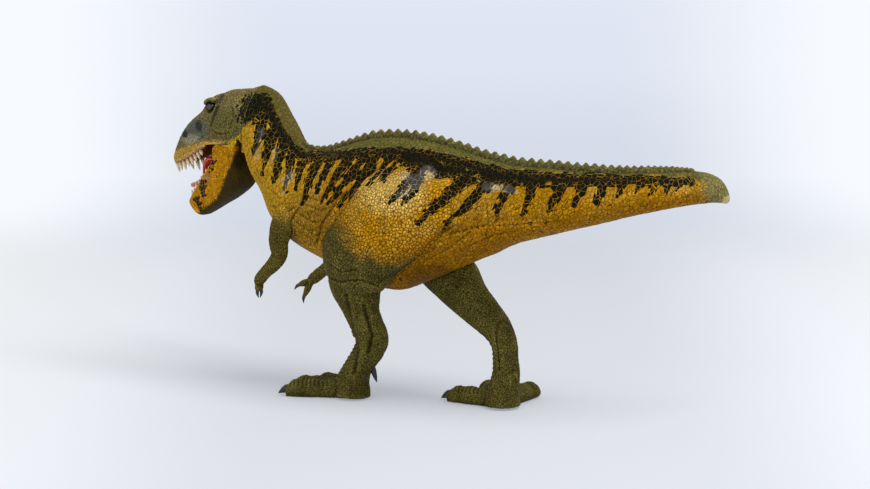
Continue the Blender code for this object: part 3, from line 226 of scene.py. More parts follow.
# The crest's teeth along the back, from the neck's foot to the tail's bend: place (share of the crest's run),
# pitch (share of CREST_TOOTH_PITCH) and height (share of CREST_TOOTH_HEIGHT).
CREST_STATIONS = (3.0, 16.2)
CREST_TOOTH_SHARES = (
    (0.00, 0.70, 0.35),
    (0.08, 0.78, 0.70),
    (0.18, 1.00, 1.00),
    (0.55, 1.00, 1.05),
    (0.75, 0.85, 0.95),
    (0.88, 0.62, 0.70),
    (1.00, 0.45, 0.30),
)

# Each row is one section of the skull: forward (share of HEAD_LENGTH), top and bottom (shares of HEAD_HEIGHT) and
# half width (share of HEAD_WIDTH).
SKULL_SHARES = (
    (0.005, 0.87, -0.24, 0.50),
    (0.09, 0.90, -0.16, 0.51),
    (0.19, 0.90, -0.09, 0.50),
    (0.30, 0.91, -0.03, 0.47),
    (0.41, 0.855, -0.02, 0.42),
    (0.50, 0.76, -0.03, 0.37),
    (0.60, 0.70, -0.05, 0.325),
    (0.75, 0.61, -0.08, 0.29),
    (0.87, 0.46, -0.08, 0.26),
    (0.96, 0.29, -0.04, 0.20),
    (1.00, 0.14, 0.02, 0.11),
)

# Each row is one section of the closed lower jaw: forward (share of JAW_LENGTH), depth (share of JAW_DEPTH) and
# half width (share of HEAD_WIDTH).
JAW_SHARES = (
    (-0.12, 0.40, 0.395),
    (0.00, 0.58, 0.400),
    (0.12, 1.22, 0.400),
    (0.30, 1.53, 0.400),
    (0.50, 1.40, 0.380),
    (0.70, 1.12, 0.330),
    (0.85, 0.92, 0.290),
    (0.95, 0.75, 0.230),
    (1.00, 0.48, 0.130),
)

# The mouth's arched roof: station of the skull and arch (share of HEAD_HEIGHT). Its floor: forward (share of
# JAW_LENGTH) and depth (share of the trough's).
MOUTH_ROOF_SHARES = ((3.7, 0.10), (4.4, 0.20), (5.5, 0.24), (6.5, 0.24), (7.5, 0.20), (8.4, 0.10))
MOUTH_FLOOR_SHARES = ((0.20, 1.0), (0.35, 1.0), (0.50, 1.0), (0.65, 1.0), (0.78, 1.0), (0.86, 0.7))

# Each row is one section of the tongue: forward and up (shares of TONGUE_LENGTH), width (share of TONGUE_WIDTH),
# thickness (share of TONGUE_THICKNESS) and tilt in degrees.
TONGUE_SHARES = (
    (0.00, 0.000, 0.70, 0.60, 0),
    (0.18, 0.085, 0.90, 1.00, 0),
    (0.36, 0.262, 0.88, 1.00, 0),
    (0.50, 0.276, 0.84, 1.00, 0),
    (0.64, 0.190, 0.66, 0.95, 0),
    (0.82, 0.222, 0.55, 0.95, 30),
    (0.930, 0.275, 0.42, 0.85, 40),
)

# Each row is one station down the leg: forward of the hip axis (share of TORSO_LENGTH), out (share of HIP_WIDTH),
# height (share of HIP_HEIGHT), fore-and-aft radius (share of THIGH_LENGTH) and side radius (share of THIGH_BULGE).
LEFT_LEG_SHARES = (
    (0.040, 0.38, 1.300, 0.28, 0.32),
    (0.030, 0.50, 1.230, 0.62, 0.62),
    (0.000, 0.60, 1.150, 0.87, 0.82),
    (-0.040, 0.68, 1.080, 1.00, 0.92),
    (-0.070, 0.76, 1.010, 1.06, 1.00),
    (-0.105, 0.84, 0.940, 1.04, 1.00),
    (-0.160, 0.92, 0.860, 0.96, 0.97),
    (-0.205, 0.99, 0.780, 0.79, 0.88),
    (-0.245, 1.00, 0.700, 0.60, 0.78),
    (-0.268, 0.97, 0.620, 0.455, 0.69),
    (-0.260, 0.92, 0.550, 0.365, 0.61),
    (-0.250, 0.86, 0.485, 0.295, 0.55),
    (-0.233, 0.81, 0.420, 0.288, 0.53),
    (-0.218, 0.76, 0.352, 0.312, 0.54),
    (-0.232, 0.70, 0.296, 0.270, 0.48),
    (-0.262, 0.65, 0.240, 0.235, 0.46),
    (-0.295, 0.60, 0.190, 0.225, 0.47),
    (-0.325, 0.55, 0.130, 0.250, 0.53),
    (-0.345, 0.50, 0.070, 0.290, 0.62),
    (-0.350, 0.49, 0.015, 0.300, 0.64),
)
RIGHT_LEG_SHARES = (
    (0.060, 0.38, 1.300, 0.28, 0.32),
    (0.055, 0.50, 1.230, 0.62, 0.62),
    (0.045, 0.60, 1.150, 0.84, 0.82),
    (0.030, 0.70, 1.070, 0.95, 0.94),
    (0.010, 0.80, 0.990, 0.98, 1.00),
    (-0.010, 0.90, 0.905, 0.93, 0.98),
    (-0.030, 0.98, 0.810, 0.78, 0.90),
    (-0.035, 1.00, 0.715, 0.56, 0.80),
    (0.058, 0.90, 0.622, 0.430, 0.69),
    (0.145, 0.78, 0.542, 0.335, 0.61),
    (0.232, 0.69, 0.470, 0.285, 0.55),
    (0.305, 0.60, 0.402, 0.238, 0.54),
    (0.342, 0.55, 0.335, 0.210, 0.50),
    (0.352, 0.51, 0.255, 0.208, 0.46),
    (0.357, 0.48, 0.180, 0.222, 0.47),
    (0.350, 0.45, 0.110, 0.240, 0.54),
    (0.345, 0.43, 0.055, 0.275, 0.62),
    (0.345, 0.43, 0.010, 0.285, 0.64),
)
TOE_ANGLES = {LEFT: (22, 0, -28), RIGHT: (-2, 47, 95)}  # outward from straight ahead, in degrees
TOE_REACH_SHARES = {LEFT: (0.97, 1.00, 0.88), RIGHT: (0.86, 0.90, 0.88)}

# Each row is one station down the arm: forward of the shoulder, down from it and out (shares of ARM_LENGTH, the
# last of SHOULDER_WIDTH), then the radius (share of ARM_RADIUS).
LEFT_ARM_SHARES = (
    (-0.06, 0.02, 0.42, 1.10),
    (0.02, 0.02, 0.72, 1.16),
    (0.06, 0.14, 0.90, 1.10),
    (0.09, 0.29, 0.98, 0.90),
    (0.07, 0.42, 1.03, 0.74),
    (0.13, 0.52, 1.06, 0.64),
    (0.23, 0.61, 1.06, 0.53),
    (0.30, 0.69, 1.06, 0.54),
    (0.32, 0.75, 1.06, 0.40),
)
RIGHT_ARM_SHARES = (
    (-0.06, 0.02, 0.42, 1.10),
    (0.00, 0.02, 0.72, 1.32),
    (0.00, 0.14, 0.93, 1.36),
    (-0.05, 0.32, 1.02, 1.00),
    (-0.12, 0.48, 1.05, 0.78),
    (-0.04, 0.60, 1.04, 0.64),
    (0.10, 0.71, 1.00, 0.54),
    (0.20, 0.79, 0.97, 0.52),
    (0.25, 0.83, 0.96, 0.40),
)
LEGS = (("left_leg", LEFT_LEG_SHARES, LEFT), ("right_leg", RIGHT_LEG_SHARES, RIGHT))
ARMS = (("left_arm", LEFT_ARM_SHARES, LEFT), ("right_arm", RIGHT_ARM_SHARES, RIGHT))

# Each pair is one section: the way along a crest tooth, toe, claw, finger or tooth, and its height or radius, as
# shares of the whole.
SHARP_TOOTH_SHARES = ((0.1, 0.36), (0.28, 0.7), (0.46, 1), (0.56, 1.08), (0.68, 0.9), (0.86, 0.52), (1, 0.22))
TOE_SHARES = ((0.0, 1.20), (0.28, 1.02), (0.45, 0.95), (0.60, 1.00), (0.74, 0.93), (0.87, 0.94), (1.02, 0.62))
CLAW_SHARES = ((-0.30, 0.95), (-0.10, 1.0), (0.30, 0.92), (0.65, 0.62), (0.88, 0.30), (1.0, 0.08))
FINGER_SHARES = ((0.0, 1.1), (0.35, 1.0), (0.55, 1.12), (0.80, 0.85), (0.97, 0.62))
TOOTH_SHARES = ((-0.30, 0.80), (0.0, 0.78), (0.25, 0.76), (0.50, 0.64), (0.75, 0.42), (0.92, 0.20), (1.0, 0.06))
TOOTH_BEND_SHARE = 0.16

# Fineness: counts, and the edge of a skin's mesh
VOXEL = 0.00042
JAW_VOXEL = 0.00036
BODY_SIDES = 96
HEAD_SIDES = 72
LIMB_SIDES = 48
TOE_SIDES = 24
TOOTH_SIDES = 14
GUM_SIDES = 12
EYE_SIDES = 48
CREST_SAMPLES = 401
LEG_SAMPLES = 200
STEPS = 8
ARCADE_STEPS = 24
SMOOTH_ROUNDS = 5
CAVITY_ROUNDS = 7
FAIR_IN = 0.50
FAIR_OUT = -0.52
EASE_ROUNDS = 10
CALM_ROUNDS = 40

# Paint, as linear colours; some of them are painted light and shade
OCHRE = (0.362, 0.170, 0.001)
PALE_OCHRE = (0.440, 0.282, 0.055)
# painted highlight on the top of the thigh
THIGH_HIGHLIGHT = (0.540, 0.370, 0.095)
DEEP_OCHRE = (0.270, 0.115, 0.001)
NECK_YELLOW = (0.460, 0.265, 0.014)
OLIVE = (0.108, 0.096, 0.022)
CREST_OLIVE = (0.128, 0.116, 0.036)
NECK_OLIVE = (0.104, 0.082, 0.016)
HEAD_OLIVE = (0.178, 0.145, 0.048)
CHEEK_OLIVE = (0.108, 0.098, 0.026)
SLATE = (0.105, 0.115, 0.085)
PALE_SNOUT = (0.300, 0.300, 0.190)
LIP_TAN = (0.460, 0.280, 0.052)
LEG_OLIVE = (0.080, 0.071, 0.016)
FOREARM_OLIVE = (0.078, 0.062, 0.012)
JAW_OCHRE = (0.620, 0.285, 0.001)
JAW_UNDER = (0.040, 0.028, 0.004)
MOUTH_RED = (0.420, 0.060, 0.025)
ROOF_MAROON = (0.085, 0.022, 0.010)
MOUTH_DARK = (0.040, 0.010, 0.004)
PURPLE_BROWN = (0.075, 0.048, 0.045)
TIP_CREAM = (0.520, 0.420, 0.210)
TAIL_TIP_OLIVE = (0.180, 0.158, 0.052)
DARK_CELL = (0.0035, 0.0038, 0.0010)
CLAW_BLACK = (0.010, 0.009, 0.007)
# Rubbed paint with a painted sheen: grey on the dark cells, pale tan on the rest
DARK_RUB_AND_SHEEN = (0.060, 0.058, 0.056)
PALE_RUB_AND_SHEEN = (0.420, 0.335, 0.170)
LINE_WASH = (0.034, 0.014, 0.001)
# painted shade under the belly, where the thigh meets it
BELLY_SHADE_BROWN = (0.11, 0.050, 0.001)
ARMPIT_OCHRE = (0.20, 0.115, 0.014)
SNOUT_DARK = (0.022, 0.028, 0.024)
# painted shade in the eye socket under the brow
SOCKET_SHADE = (0.018, 0.017, 0.010)
# painted shade in the groove behind the eye
CHEEK_GROOVE_SHADE = (0.022, 0.022, 0.014)
LIP_SEAM = (0.075, 0.030, 0.008)
JAW_SPOT = (0.26, 0.17, 0.13)
# painted shadow where the jaw meets the throat
THROAT_SHADOW = (0.010, 0.008, 0.002)
GUM_RED = (0.20, 0.045, 0.020)
TOOTH_ROOT = (0.46, 0.27, 0.10)
TOOTH_IVORY = (0.80, 0.66, 0.42)
TONGUE_RED = (0.56, 0.050, 0.028)
EYE_DARK = (0.012, 0.010, 0.008)
EYE_AMBER = (0.050, 0.030, 0.008)
STEEL_DARK = (0.50, 0.50, 0.50)
STEEL_LIGHT = (0.66, 0.65, 0.63)

# Sizes of the paint's mottling and of the scales, in metres, and how the scales are stretched and made finer
PATCH_SIZE = 0.012
TONE_SIZE = 0.006
FLECK_SIZE = 0.003
HEAD_FLECK_SIZE = 0.002
STRIPE_JITTER = 1.7  # pixels over which a stripe's border breaks up into scales
PAINTED_LIGHT_SIDE = np.array((-0.62, -0.35, 0.70))  # painted light and shade: the limbs are painted paler on the sides that face here, darker on those turned away
FINE_SCALE = 1 / 0.00150  # scales to the metre on the thigh and the belly
BROAD_SCALE = 1 / 0.00205  # on the flank, where the stripes are made of whole scales
SCALE_RANDOMNESS = 0.85
STRETCH = Vector((0.45, 0, 0.89)).normalized()  # the trunk's scales are longest this way
STRETCH_SHARE = 0.70
HEAD_FINENESS = 1.35
JAW_FINENESS = 1.2
FOOT_FINENESS = 0.45
FINENESS_HEIGHTS = (0.045, 0.075)
GRAIN_SCALE = 2400.0
MOTTLE_SCALE = 260.0
NOISE_KEYS = (73856093, 19349663, 83492791, 2654435761)
NOISE_SCATTER = 1274126177
BLOB_CORE_SHARE = 0.45

# Relief of the skin
SKIN_UNEVENNESS = ((0.16, 0.009, 3), (0.05, 0.0022, 7))  # height in millimetres, size and seed
BROAD_GROOVE = 0.10  # half widths of the grooves between scales, in units of the scales' texture
FINE_GROOVE = 0.14
LIMB_GROOVE_DEPTH = 0.18  # in millimetres
HEAD_GROOVE_DEPTH = 0.15
TRUNK_GROOVE_DEPTH = 0.12
SHANK_PLATES = (0.36, 0.0021, 0.00042)  # depth in millimetres, pitch and width of the grooves between plates
TOE_PLATES = (0.34, 0.0019, 0.0004)
NOSTRIL = (0.925, 0.17, 0.022, 0.055)  # ahead and up, and the radii, as shares of the head's length and height
SNOUT_OPENING = (0.50, 0.40, 0.10, 0.13)
HOLLOW_DEPTH = 0.10  # millimetres at which the dark wash and painted shade in hollows are full
DEEP_HOLLOW_DEPTH = 0.30
ANKLE_START = (0.020, 0.026)  # heights over which the softened ankles begin, then end, turned down
ANKLE_END = (-0.040, -0.034)
THROAT_ROOM = 0.5  # millimetres that the jaw's back gives way, so that it clears the throat wide open

# Brush strokes of the photograph: half width where a stroke starts and ends, then its path, in pixels. The paint
# functions give their places in the photograph in pixels too.
NAPE_PATCH = (
    (10, 10, (250, 106), (261, 104)),
    (8, 8, (247, 114), (262, 112)),
)
NECK_STRIPES = (
    (9, 6, (262, 103), (271, 114), (281, 132), (291, 146), (302, 155), (314, 156)),
    (6.0, 1.5, (262, 122), (258, 138), (252, 153)),
    (6.0, 1.5, (272, 132), (267, 156), (262, 175)),
    (6.0, 1.5, (284, 145), (279, 162), (274, 182)),
    (5.0, 1.2, (292, 152), (288, 172), (286, 191)),
    (4.0, 1.0, (302, 158), (298, 176), (296, 190)),
)
FLANK_STRIPES = (
    (5.2, 1.6, (320, 158), (310, 178), (302, 204)),
    (4.0, 1.2, (332, 158), (322, 178), (315, 196)),
    (5.6, 1.8, (350, 157), (336, 178), (322, 203)),
    (5.2, 1.8, (364, 156), (346, 180), (328, 204)),
    (6.0, 2.2, (377, 154), (360, 180), (338, 207)),
    (4.0, 1.4, (390, 156), (380, 172), (366, 186)),
    (3.4, 1.0, (400, 156), (392, 168), (382, 182)),
    (7.5, 2.6, (426, 162), (410, 180), (390, 203)),
    (5.0, 2.0, (420, 178), (412, 192), (402, 204)),
    (11, 9, (408, 157), (426, 160), (440, 168)),
    (10, 5, (440, 168), (462, 170), (474, 178)),
    (8.0, 2.8, (470, 174), (446, 196), (419, 221)),
    (7.2, 2.0, (494, 176), (472, 200), (444, 226)),
    (6.0, 2.4, (514, 180), (504, 196), (497, 210)),
    (4.0, 6.0, (306, 157), (322, 155), (340, 155), (372, 153), (400, 154)),
    (6.5, 7.5, (400, 154), (432, 157), (460, 163), (484, 171), (520, 178)),
)
TAIL_STRIPES = (
    (9.0, 8.0, (484, 174), (520, 178), (546, 180)),
    (7.5, 5.5, (546, 180), (580, 180), (620, 180)),
    (5.0, 3.5, (620, 180), (660, 180), (690, 182)),
    (6.0, 2.2, (532, 186), (528, 199), (523, 213)),
    (6.0, 2.0, (561, 186), (556, 198), (549, 211)),
    (5.8, 2.0, (582, 184), (579, 194), (575, 206)),
    (5.4, 2.0, (602, 183), (600, 192), (596, 204)),
    (5.6, 2.0, (623, 182), (620, 189), (617, 197)),
    (5.0, 1.6, (641, 181), (638, 187), (635, 194)),
    (4.6, 1.4, (655, 181), (653, 188), (651, 195)),
    (3.8, 1.2, (667, 182), (666, 187), (665, 192)),
    (4.2, 1.2, (681, 182), (679, 187), (676, 191)),
)
FINE_LINE = ((280, 214), (330, 204), (380, 200), (440, 208), (520, 202), (600, 192), (700, 184))
OLIVE_LINE = (
    *((214, 148), (229, 142), (236, 137), (245, 127), (254, 119), (262, 111), (267, 102), (274, 110)),
    *((284, 129), (293, 144), (306, 153), (332, 152), (372, 150), (400, 149), (432, 152), (444, 156)),
    *((480, 164), (500, 169), (530, 172), (560, 174), (620, 176), (680, 178), (706, 183)),
)
LIP_LINE = ((165, 150), (178, 149), (190, 145), (204, 141), (229, 140))
JAW_EDGE = ((150, 238), (166, 229), (189, 220), (204, 214), (214, 208))  # pixels down, then right
THIGH_OVAL = ((404, 218), (66, 48))
# painted shade along the groove behind the eye: half width at its ends, then its path
CHEEK_GROOVE_SHADE_STROKE = (2.2, 1.2, (217, 107), (213, 116), (210, 125))
LIP_SEAM_STROKE = (1.2, 1.0, (206, 147), (214, 146), (230, 144))
JAW_STRIPES = (
    (3.6, 2.8, (213.5, 162), (212.5, 170)),
    (3.8, 2.4, (203, 183), (203, 195)),
    (3.4, 2.0, (197, 199), (201, 209)),
)
# Rubbed paint with a painted sheen, pale on the stripes and the top of the flank: half width where a stroke starts
# and ends, then its path
RUB_AND_SHEEN_STROKES = (
    (4, 2, (262, 130), (258, 146), (256, 158)),
    (4, 2, (275, 150), (271, 166)),
    (6, 3, (288, 176), (283, 192)),
    (9, 4, (428, 172), (412, 186), (396, 198)),
    (7, 5, (404, 176), (420, 184)),
    (6, 4, (486, 186), (502, 188), (518, 192)),
)

# Folds of the skin: depth in millimetres, half width in pixels, then the path
CREASES = (
    (0.75, 2.4, (390, 160), (360, 180), (337, 200), (322, 222), (316, 242)),
    (1.60, 4.2, (249, 81), (247, 91), (241, 101)),
    (0.55, 2.2, (378, 284), (396, 272), (416, 257), (434, 240), (450, 228)),
    (0.30, 1.6, (424, 262), (446, 250), (470, 232)),
    (0.25, 1.5, (392, 268), (410, 258), (428, 244)),
    (0.30, 1.3, (487, 204), (488, 222), (486, 236)),
    (0.25, 1.3, (496, 206), (497, 218), (495, 230)),
    (0.35, 1.6, (470, 246), (492, 236), (506, 232)),
    (0.30, 1.5, (505, 232), (520, 244)),
    (0.28, 1.4, (444, 236), (480, 226), (520, 224), (560, 222)),
    (0.35, 1.5, (300, 214), (312, 222), (326, 222)),
    (0.32, 1.4, (296, 222), (308, 230), (322, 232)),
    (0.30, 1.4, (300, 232), (312, 240), (324, 241)),
    (0.28, 1.4, (306, 205), (322, 210), (334, 206)),
    (0.28, 1.4, (302, 196), (318, 200)),
    (0.50, 1.9, (302, 202), (294, 214), (288, 228)),
    (0.35, 1.7, (272, 206), (285, 212), (298, 206)),
    (0.40, 1.8, (439, 268), (450, 272), (471, 278)),
    (0.40, 1.5, (322, 276), (340, 282), (360, 280), (378, 286)),
    (0.25, 1.4, (326, 262), (340, 272), (356, 270)),
    (0.90, 2.8, (346, 296), (352, 330), (358, 350), (354, 372)),
    (0.80, 2.4, (364, 306), (372, 336), (368, 352)),
    (0.80, 2.6, (466, 292), (490, 326), (498, 350), (502, 376)),
    (0.50, 1.6, (484, 318), (488, 344), (492, 372)),
    (0.80, 4.0, (238, 156), (244, 172), (254, 188)),
    (0.25, 1.3, (246, 150), (250, 166), (262, 184)),
    (0.22, 1.3, (256, 170), (266, 186), (280, 198)),
)
SWELLS = (  # the same, with heights
    (0.55, 7.0, (452, 222), (490, 212), (540, 214)),
    (0.50, 6.0, (440, 244), (470, 240), (500, 226), (540, 222)),
    (0.70, 6.0, (346, 300), (360, 300), (372, 316)),
    (0.70, 4.5, (362, 318), (364, 340), (360, 366)),
    (0.50, 6.0, (380, 262), (350, 250), (332, 236)),
    (0.45, 5.0, (300, 206), (318, 206), (336, 200)),
    (0.70, 5.0, (478, 288), (498, 318), (508, 344)),
)
HEAD_CREASES = (
    (0.45, 1.5, (218, 106), (214, 115), (210, 126)),
    (0.30, 1.3, (226, 118), (224, 128), (226, 138)),
    (0.25, 1.2, (206, 146), (216, 145), (230, 144)),
    (0.25, 1.3, (203, 120), (200, 128), (202, 138)),
    (1.60, 4.2, (249, 81), (247, 91), (241, 101)),
    (0.25, 1.3, (240, 98), (236, 104), (238, 112)),
    (0.35, 1.4, (232, 108), (233, 118), (229, 128)),
    (0.25, 1.2, (212, 130), (218, 134), (228, 133)),
)

# The studio: a sheet with a bend, its colours with painted light (brighter and bluer up the wall, bright rims at
# its sides), and the lamps
FLOOR_HALF_WIDTH = 5.0
FLOOR_FRONT = 5.0
FLOOR_BACK = 2.6
BEND_RADIUS = 0.35
WALL_HEIGHT = 2.0
BEND_STEPS = 24
# Painted light: the floor and wall are brighter at their rims, and the wall brighter and bluer higher up
FLOOR_COLOUR = (0.670, 0.680, 0.690)
FLOOR_RIM_LIGHT = (0.88, 0.89, 0.90)
WALL_LOW = (0.655, 0.700, 0.795)
WALL_HIGH = (0.840, 0.885, 1.000)
WALL_RIM_LIGHT = (0.930, 0.960, 1.000)
FLOOR_GLOW_SHARE = 0.45
WIDENING_START = 0.914  # the painted bright rims draw apart with depth from here on, in metres in front of the figure
WIDENING_DEPTH = 0.90
RIM_SHIFT = 0.030  # the floor's painted light is shifted so that it is brighter on the left
SKY_COLOUR = (0.80, 0.84, 0.92)
WORLD_COLOUR = (1.0, 0.975, 0.90)
WORLD_STRENGTH = 0.50
KEY_OFFSET = (0.45, 0.35, 0.95)  # right of the camera's aim, towards the camera, and up
KEY_COLOUR = (0.97, 0.985, 1.04)
KEY_POWER = 12.0
KEY_SIZE = 0.7
FILL_OFFSET = (-0.9, 0.8, 0.35)
FILL_POWER = 3.0
FILL_SIZE = 0.9


def spline(rows, place):
    """The row at a fractional place along a table, on a Catmull-Rom curve through all its rows."""
    last = len(rows) - 1
    index = max(0, min(int(place), last - 1))
    t = place - index
    a, b, c, d = (np.array(rows[max(0, min(index + step, last))], float) for step in (-1, 0, 1, 2))
    return 0.5 * (2 * b + (c - a) * t + (2 * a - 5 * b + 4 * c - d) * t**2 + (3 * b - a - 3 * c + d) * t**3)


def reading(rows, place):
    """The other columns of a table whose first column is the place, read by straight lines."""
    table = np.array(rows, float)
    return [float(np.interp(place, table[:, 0], table[:, k])) for k in range(1, table.shape[1])]


def oval(centre, side, up, sides, taper=0.0):
    points = []
    for k in range(sides):
        angle = TAU * k / sides
        across = math.cos(angle) * (1 - taper * math.sin(angle))
        points.append(centre + side * across + up * math.sin(angle))
    return points


def boxy(angle, power):
    c = math.cos(angle)
    s = math.sin(angle)
    return math.copysign(abs(c) ** (2 / power), c), math.copysign(abs(s) ** (2 / power), s)


def boxy_ring(place, forward, half_width, base, upper, lower, sides=HEAD_SIDES):
    """A section across a head's or jaw's frame, with the power, height and taper of its upper and lower half."""
    points = []
    for k in range(sides):
        angle = TAU * k / sides
        power, height, taper = upper if math.sin(angle) > 0 else lower
        across, rise = boxy(angle, power)
        across *= 1 - taper * rise
        points.append(place @ Vector((forward, -half_width * across, base + height * rise)))
    return points


def smooth_rings(make_ring, count, steps=STEPS):
    """Sections at even steps along a table with so many rows."""
    return [make_ring(k / steps) for k in range((count - 1) * steps + 1)]


def loft(rings):
    """Points and faces of a closed solid through rings of equal count."""
    points = [point for ring in rings for point in ring]
    sides = len(rings[0])
    last = (len(rings) - 1) * sides
    faces = []
    for near in range(0, last, sides):
        for i in range(sides):
            j = (i + 1) % sides
            faces.append((near + i, near + j, near + sides + j, near + sides + i))
    faces.append(tuple(range(sides)))
    faces.append(tuple(range(last, last + sides)))
    return points, faces


def placed(name, data):
    """A new object of the scene."""
    made = bpy.data.objects.new(name, data)
    bpy.context.scene.collection.objects.link(made)
    return made


def solid(name, *ring_sets):
    """One object of closed lofts, facing outward."""
    points = []
    faces = []
    for rings in ring_sets:
        more_points, more_faces = loft(rings)
        faces += [tuple(index + len(points) for index in face) for face in more_faces]
        points += more_points
    data = bpy.data.meshes.new(name)
    data.from_pydata([tuple(point) for point in points], [], faces)
    mesh = bmesh.new()
    mesh.from_mesh(data)
    bmesh.ops.recalc_face_normals(mesh, faces=mesh.faces)
    mesh.to_mesh(data)
    mesh.free()
    return placed(name, data)


def settle(target):
    """Carry out a target's modifiers for good."""
    bpy.context.view_layer.update()
    graph = bpy.context.evaluated_depsgraph_get()
    result = bpy.data.meshes.new_from_object(target.evaluated_get(graph))
    target.modifiers.clear()
    target.data = result


def combine(target, tool, operation):
    """Cut or join the target with a tool, and take the tool away."""
    modifier = target.modifiers.new(operation.lower(), "BOOLEAN")
    modifier.operation = operation
    modifier.solver = "EXACT"
    modifier.object = tool
    settle(target)
    bpy.data.objects.remove(tool)


def largest_body(target):
    """Keep only the biggest separate shell of a mesh, so that a cut leaves no crumbs."""
    mesh = bmesh.new()
    mesh.from_mesh(target.data)
    left = set(mesh.verts)
    groups = []
    while left:
        edge = [left.pop()]
        group = set(edge)
        while edge:
            for link in edge.pop().link_edges:
                for other in link.verts:
                    if other in left:
                        left.remove(other)
                        group.add(other)
                        edge.append(other)
        groups.append(group)
    groups.sort(key=len)
    crumbs = [vertex for group in groups[:-1] for vertex in group]
    bmesh.ops.delete(mesh, geom=crumbs, context="VERTS")
    mesh.to_mesh(target.data)
    mesh.free()
    return target


def rod(name, place, half_length, radius):
    """A round bar across a head's or jaw's frame, through its origin."""
    start, end = (place @ Vector((0, sign * half_length, 0)) for sign in (LEFT, RIGHT))
    along = (end - start).normalized()
    side = along.orthogonal().normalized()
    up = along.cross(side)
    return solid(name, [oval(point, side * radius, up * radius, LIMB_SIDES) for point in (start, end)])


def lump(name, place, centre, radii, sides=24):
    """A rounded lump with its axes along a frame's."""
    rings = []
    for k in range(1, sides // 2):
        polar = TAU * k / sides
        ring = []
        for i in range(sides):
            angle = TAU * i / sides
            x = centre[0] + radii[0] * math.cos(polar)
            y = centre[1] + radii[1] * math.sin(polar) * math.cos(angle)
            z = centre[2] + radii[2] * math.sin(polar) * math.sin(angle)
            ring.append(place @ Vector((x, y, z)))
        rings.append(ring)
    return solid(name, rings)


def box(name, place, low, high):
    corners = ((low[1], low[2]), (low[1], high[2]), (high[1], high[2]), (high[1], low[2]))
    return solid(name, [[place @ Vector((x, y, z)) for y, z in corners] for x in (low[0], high[0])])


def body_stations():
    """Back point, belly point and half width at each station, from the neck's end to the tail's tip."""
    rows = []
    for back_x, back_z, belly_x, belly_z, half_width, lean in TRUNK_STATION_SHARES:
        back = (back_x * TORSO_LENGTH, lean * NECK_SWAY)
        belly = (belly_x * TORSO_LENGTH, lean * NECK_SWAY)
        rows.append((back, back_z, belly, belly_z, half_width))
    for x, back_z, belly_z, half_width, sweep in TAIL_STATION_SHARES:
        place = (SEAM_X + x * TAIL_REACH, sweep * TAIL_SWEEP)
        rows.append((place, back_z, place, belly_z, half_width))
    stations = []
    for back, back_z, belly, belly_z, half_width in rows:
        heights = [HIP_HEIGHT + z * TORSO_DEPTH for z in (back_z, belly_z)]
        stations.append((*back, heights[0], *belly, heights[1], half_width * TORSO_WIDTH))
    return stations


SEAM_X = TRUNK_STATION_SHARES[-1][0] * TORSO_LENGTH
STATIONS = body_stations()
LAST_STATION = len(STATIONS) - 1


def body_section(place):
    """Centre, side vector and up vector of the body at a fractional station."""
    row = spline(STATIONS, place)
    back = Vector(row[0:3])
    belly = Vector(row[3:6])
    ahead = spline(STATIONS, min(place + STATION_STEP, LAST_STATION))
    behind = spline(STATIONS, max(place - STATION_STEP, 0))
    run = Vector(ahead[0:3] + ahead[3:6] - behind[0:3] - behind[3:6])
    run.z = 0
    side = UP.cross(run.normalized())
    return (back + belly) / 2, side * row[6], (back - belly) / 2


def body_ring(place):
    return oval(*body_section(place), BODY_SIDES, BACK_TAPER_SHARE)


def path_lengths(path):
    """The way along a path to each of its points, as an array."""
    return np.concatenate([[0.0], np.cumsum(np.linalg.norm(np.diff(path, axis=0), axis=1))])


def crest_rings():
    """The serrated ridge, with pointed teeth that are steeper towards the tail."""
    places = np.linspace(*CREST_STATIONS, CREST_SAMPLES)
    lengths = path_lengths([spline(STATIONS, place)[0:3] for place in places])
    total = lengths[-1]
    samples = [(0.0, 0.0)]
    at = 0.0
    while True:
        pitch, height = reading(CREST_TOOTH_SHARES, at / total)
        pitch *= CREST_TOOTH_PITCH
        if at + pitch > total:
            break
        for share, rise in SHARP_TOOTH_SHARES:
            samples.append((at + share * pitch, rise * height * CREST_TOOTH_HEIGHT))
        at += pitch
    samples.append((total, 0.0))
    rings = []
    for distance, rise in samples:
        centre, side, up = body_section(float(np.interp(distance, lengths, places)))
        across = side.normalized() * CREST_THICKNESS / 2
        upward = up.normalized()
        nearer_end = min(distance, total - distance)
        fade = min(1.0, CREST_START_SHARE + nearer_end / (CREST_FADE_SHARE * total))
        top = centre + up + upward * (CREST_RISE * fade + rise)
        root = centre + up - upward * CREST_ROOT
        edge = across * CREST_EDGE_SHARE
        rings.append([root - across, top - edge, top + edge, root + across])
    return rings


def neck_end():
    """The middle of the neck's end and the way it faces."""
    centre, side, up = body_section(0)
    return centre, up.cross(side).normalized()


def head_frame():
    """The head's frame: X forward, Y to its left, Z up, at the jaw pin."""
    pin = neck_end()[0] + Vector((-HINGE_AHEAD, 0, -HINGE_BELOW))
    face_back = Matrix.Rotation(math.pi - HEAD_TURN, 4, "Z")
    return Matrix.Translation(pin) @ face_back @ Matrix.Rotation(HEAD_DIP, 4, "Y")


HEAD = head_frame()
JAW = HEAD @ Matrix.Rotation(GAPE, 4, "Y")
SHIFT = Matrix.Translation(Vector(frame["joints"][0]["pos_m"]) - HEAD.translation)


def skull_at(place):
    """Forward, top, waist, bottom and half width of the skull at a fractional station."""
    forward, top, bottom, half_width = spline(SKULL_SHARES, place)
    waist = bottom + (top - bottom) * SKULL_WAIST_SHARE
    heights = [height * HEAD_HEIGHT for height in (top, waist, bottom)]
    return forward * HEAD_LENGTH, *heights, half_width * HEAD_WIDTH


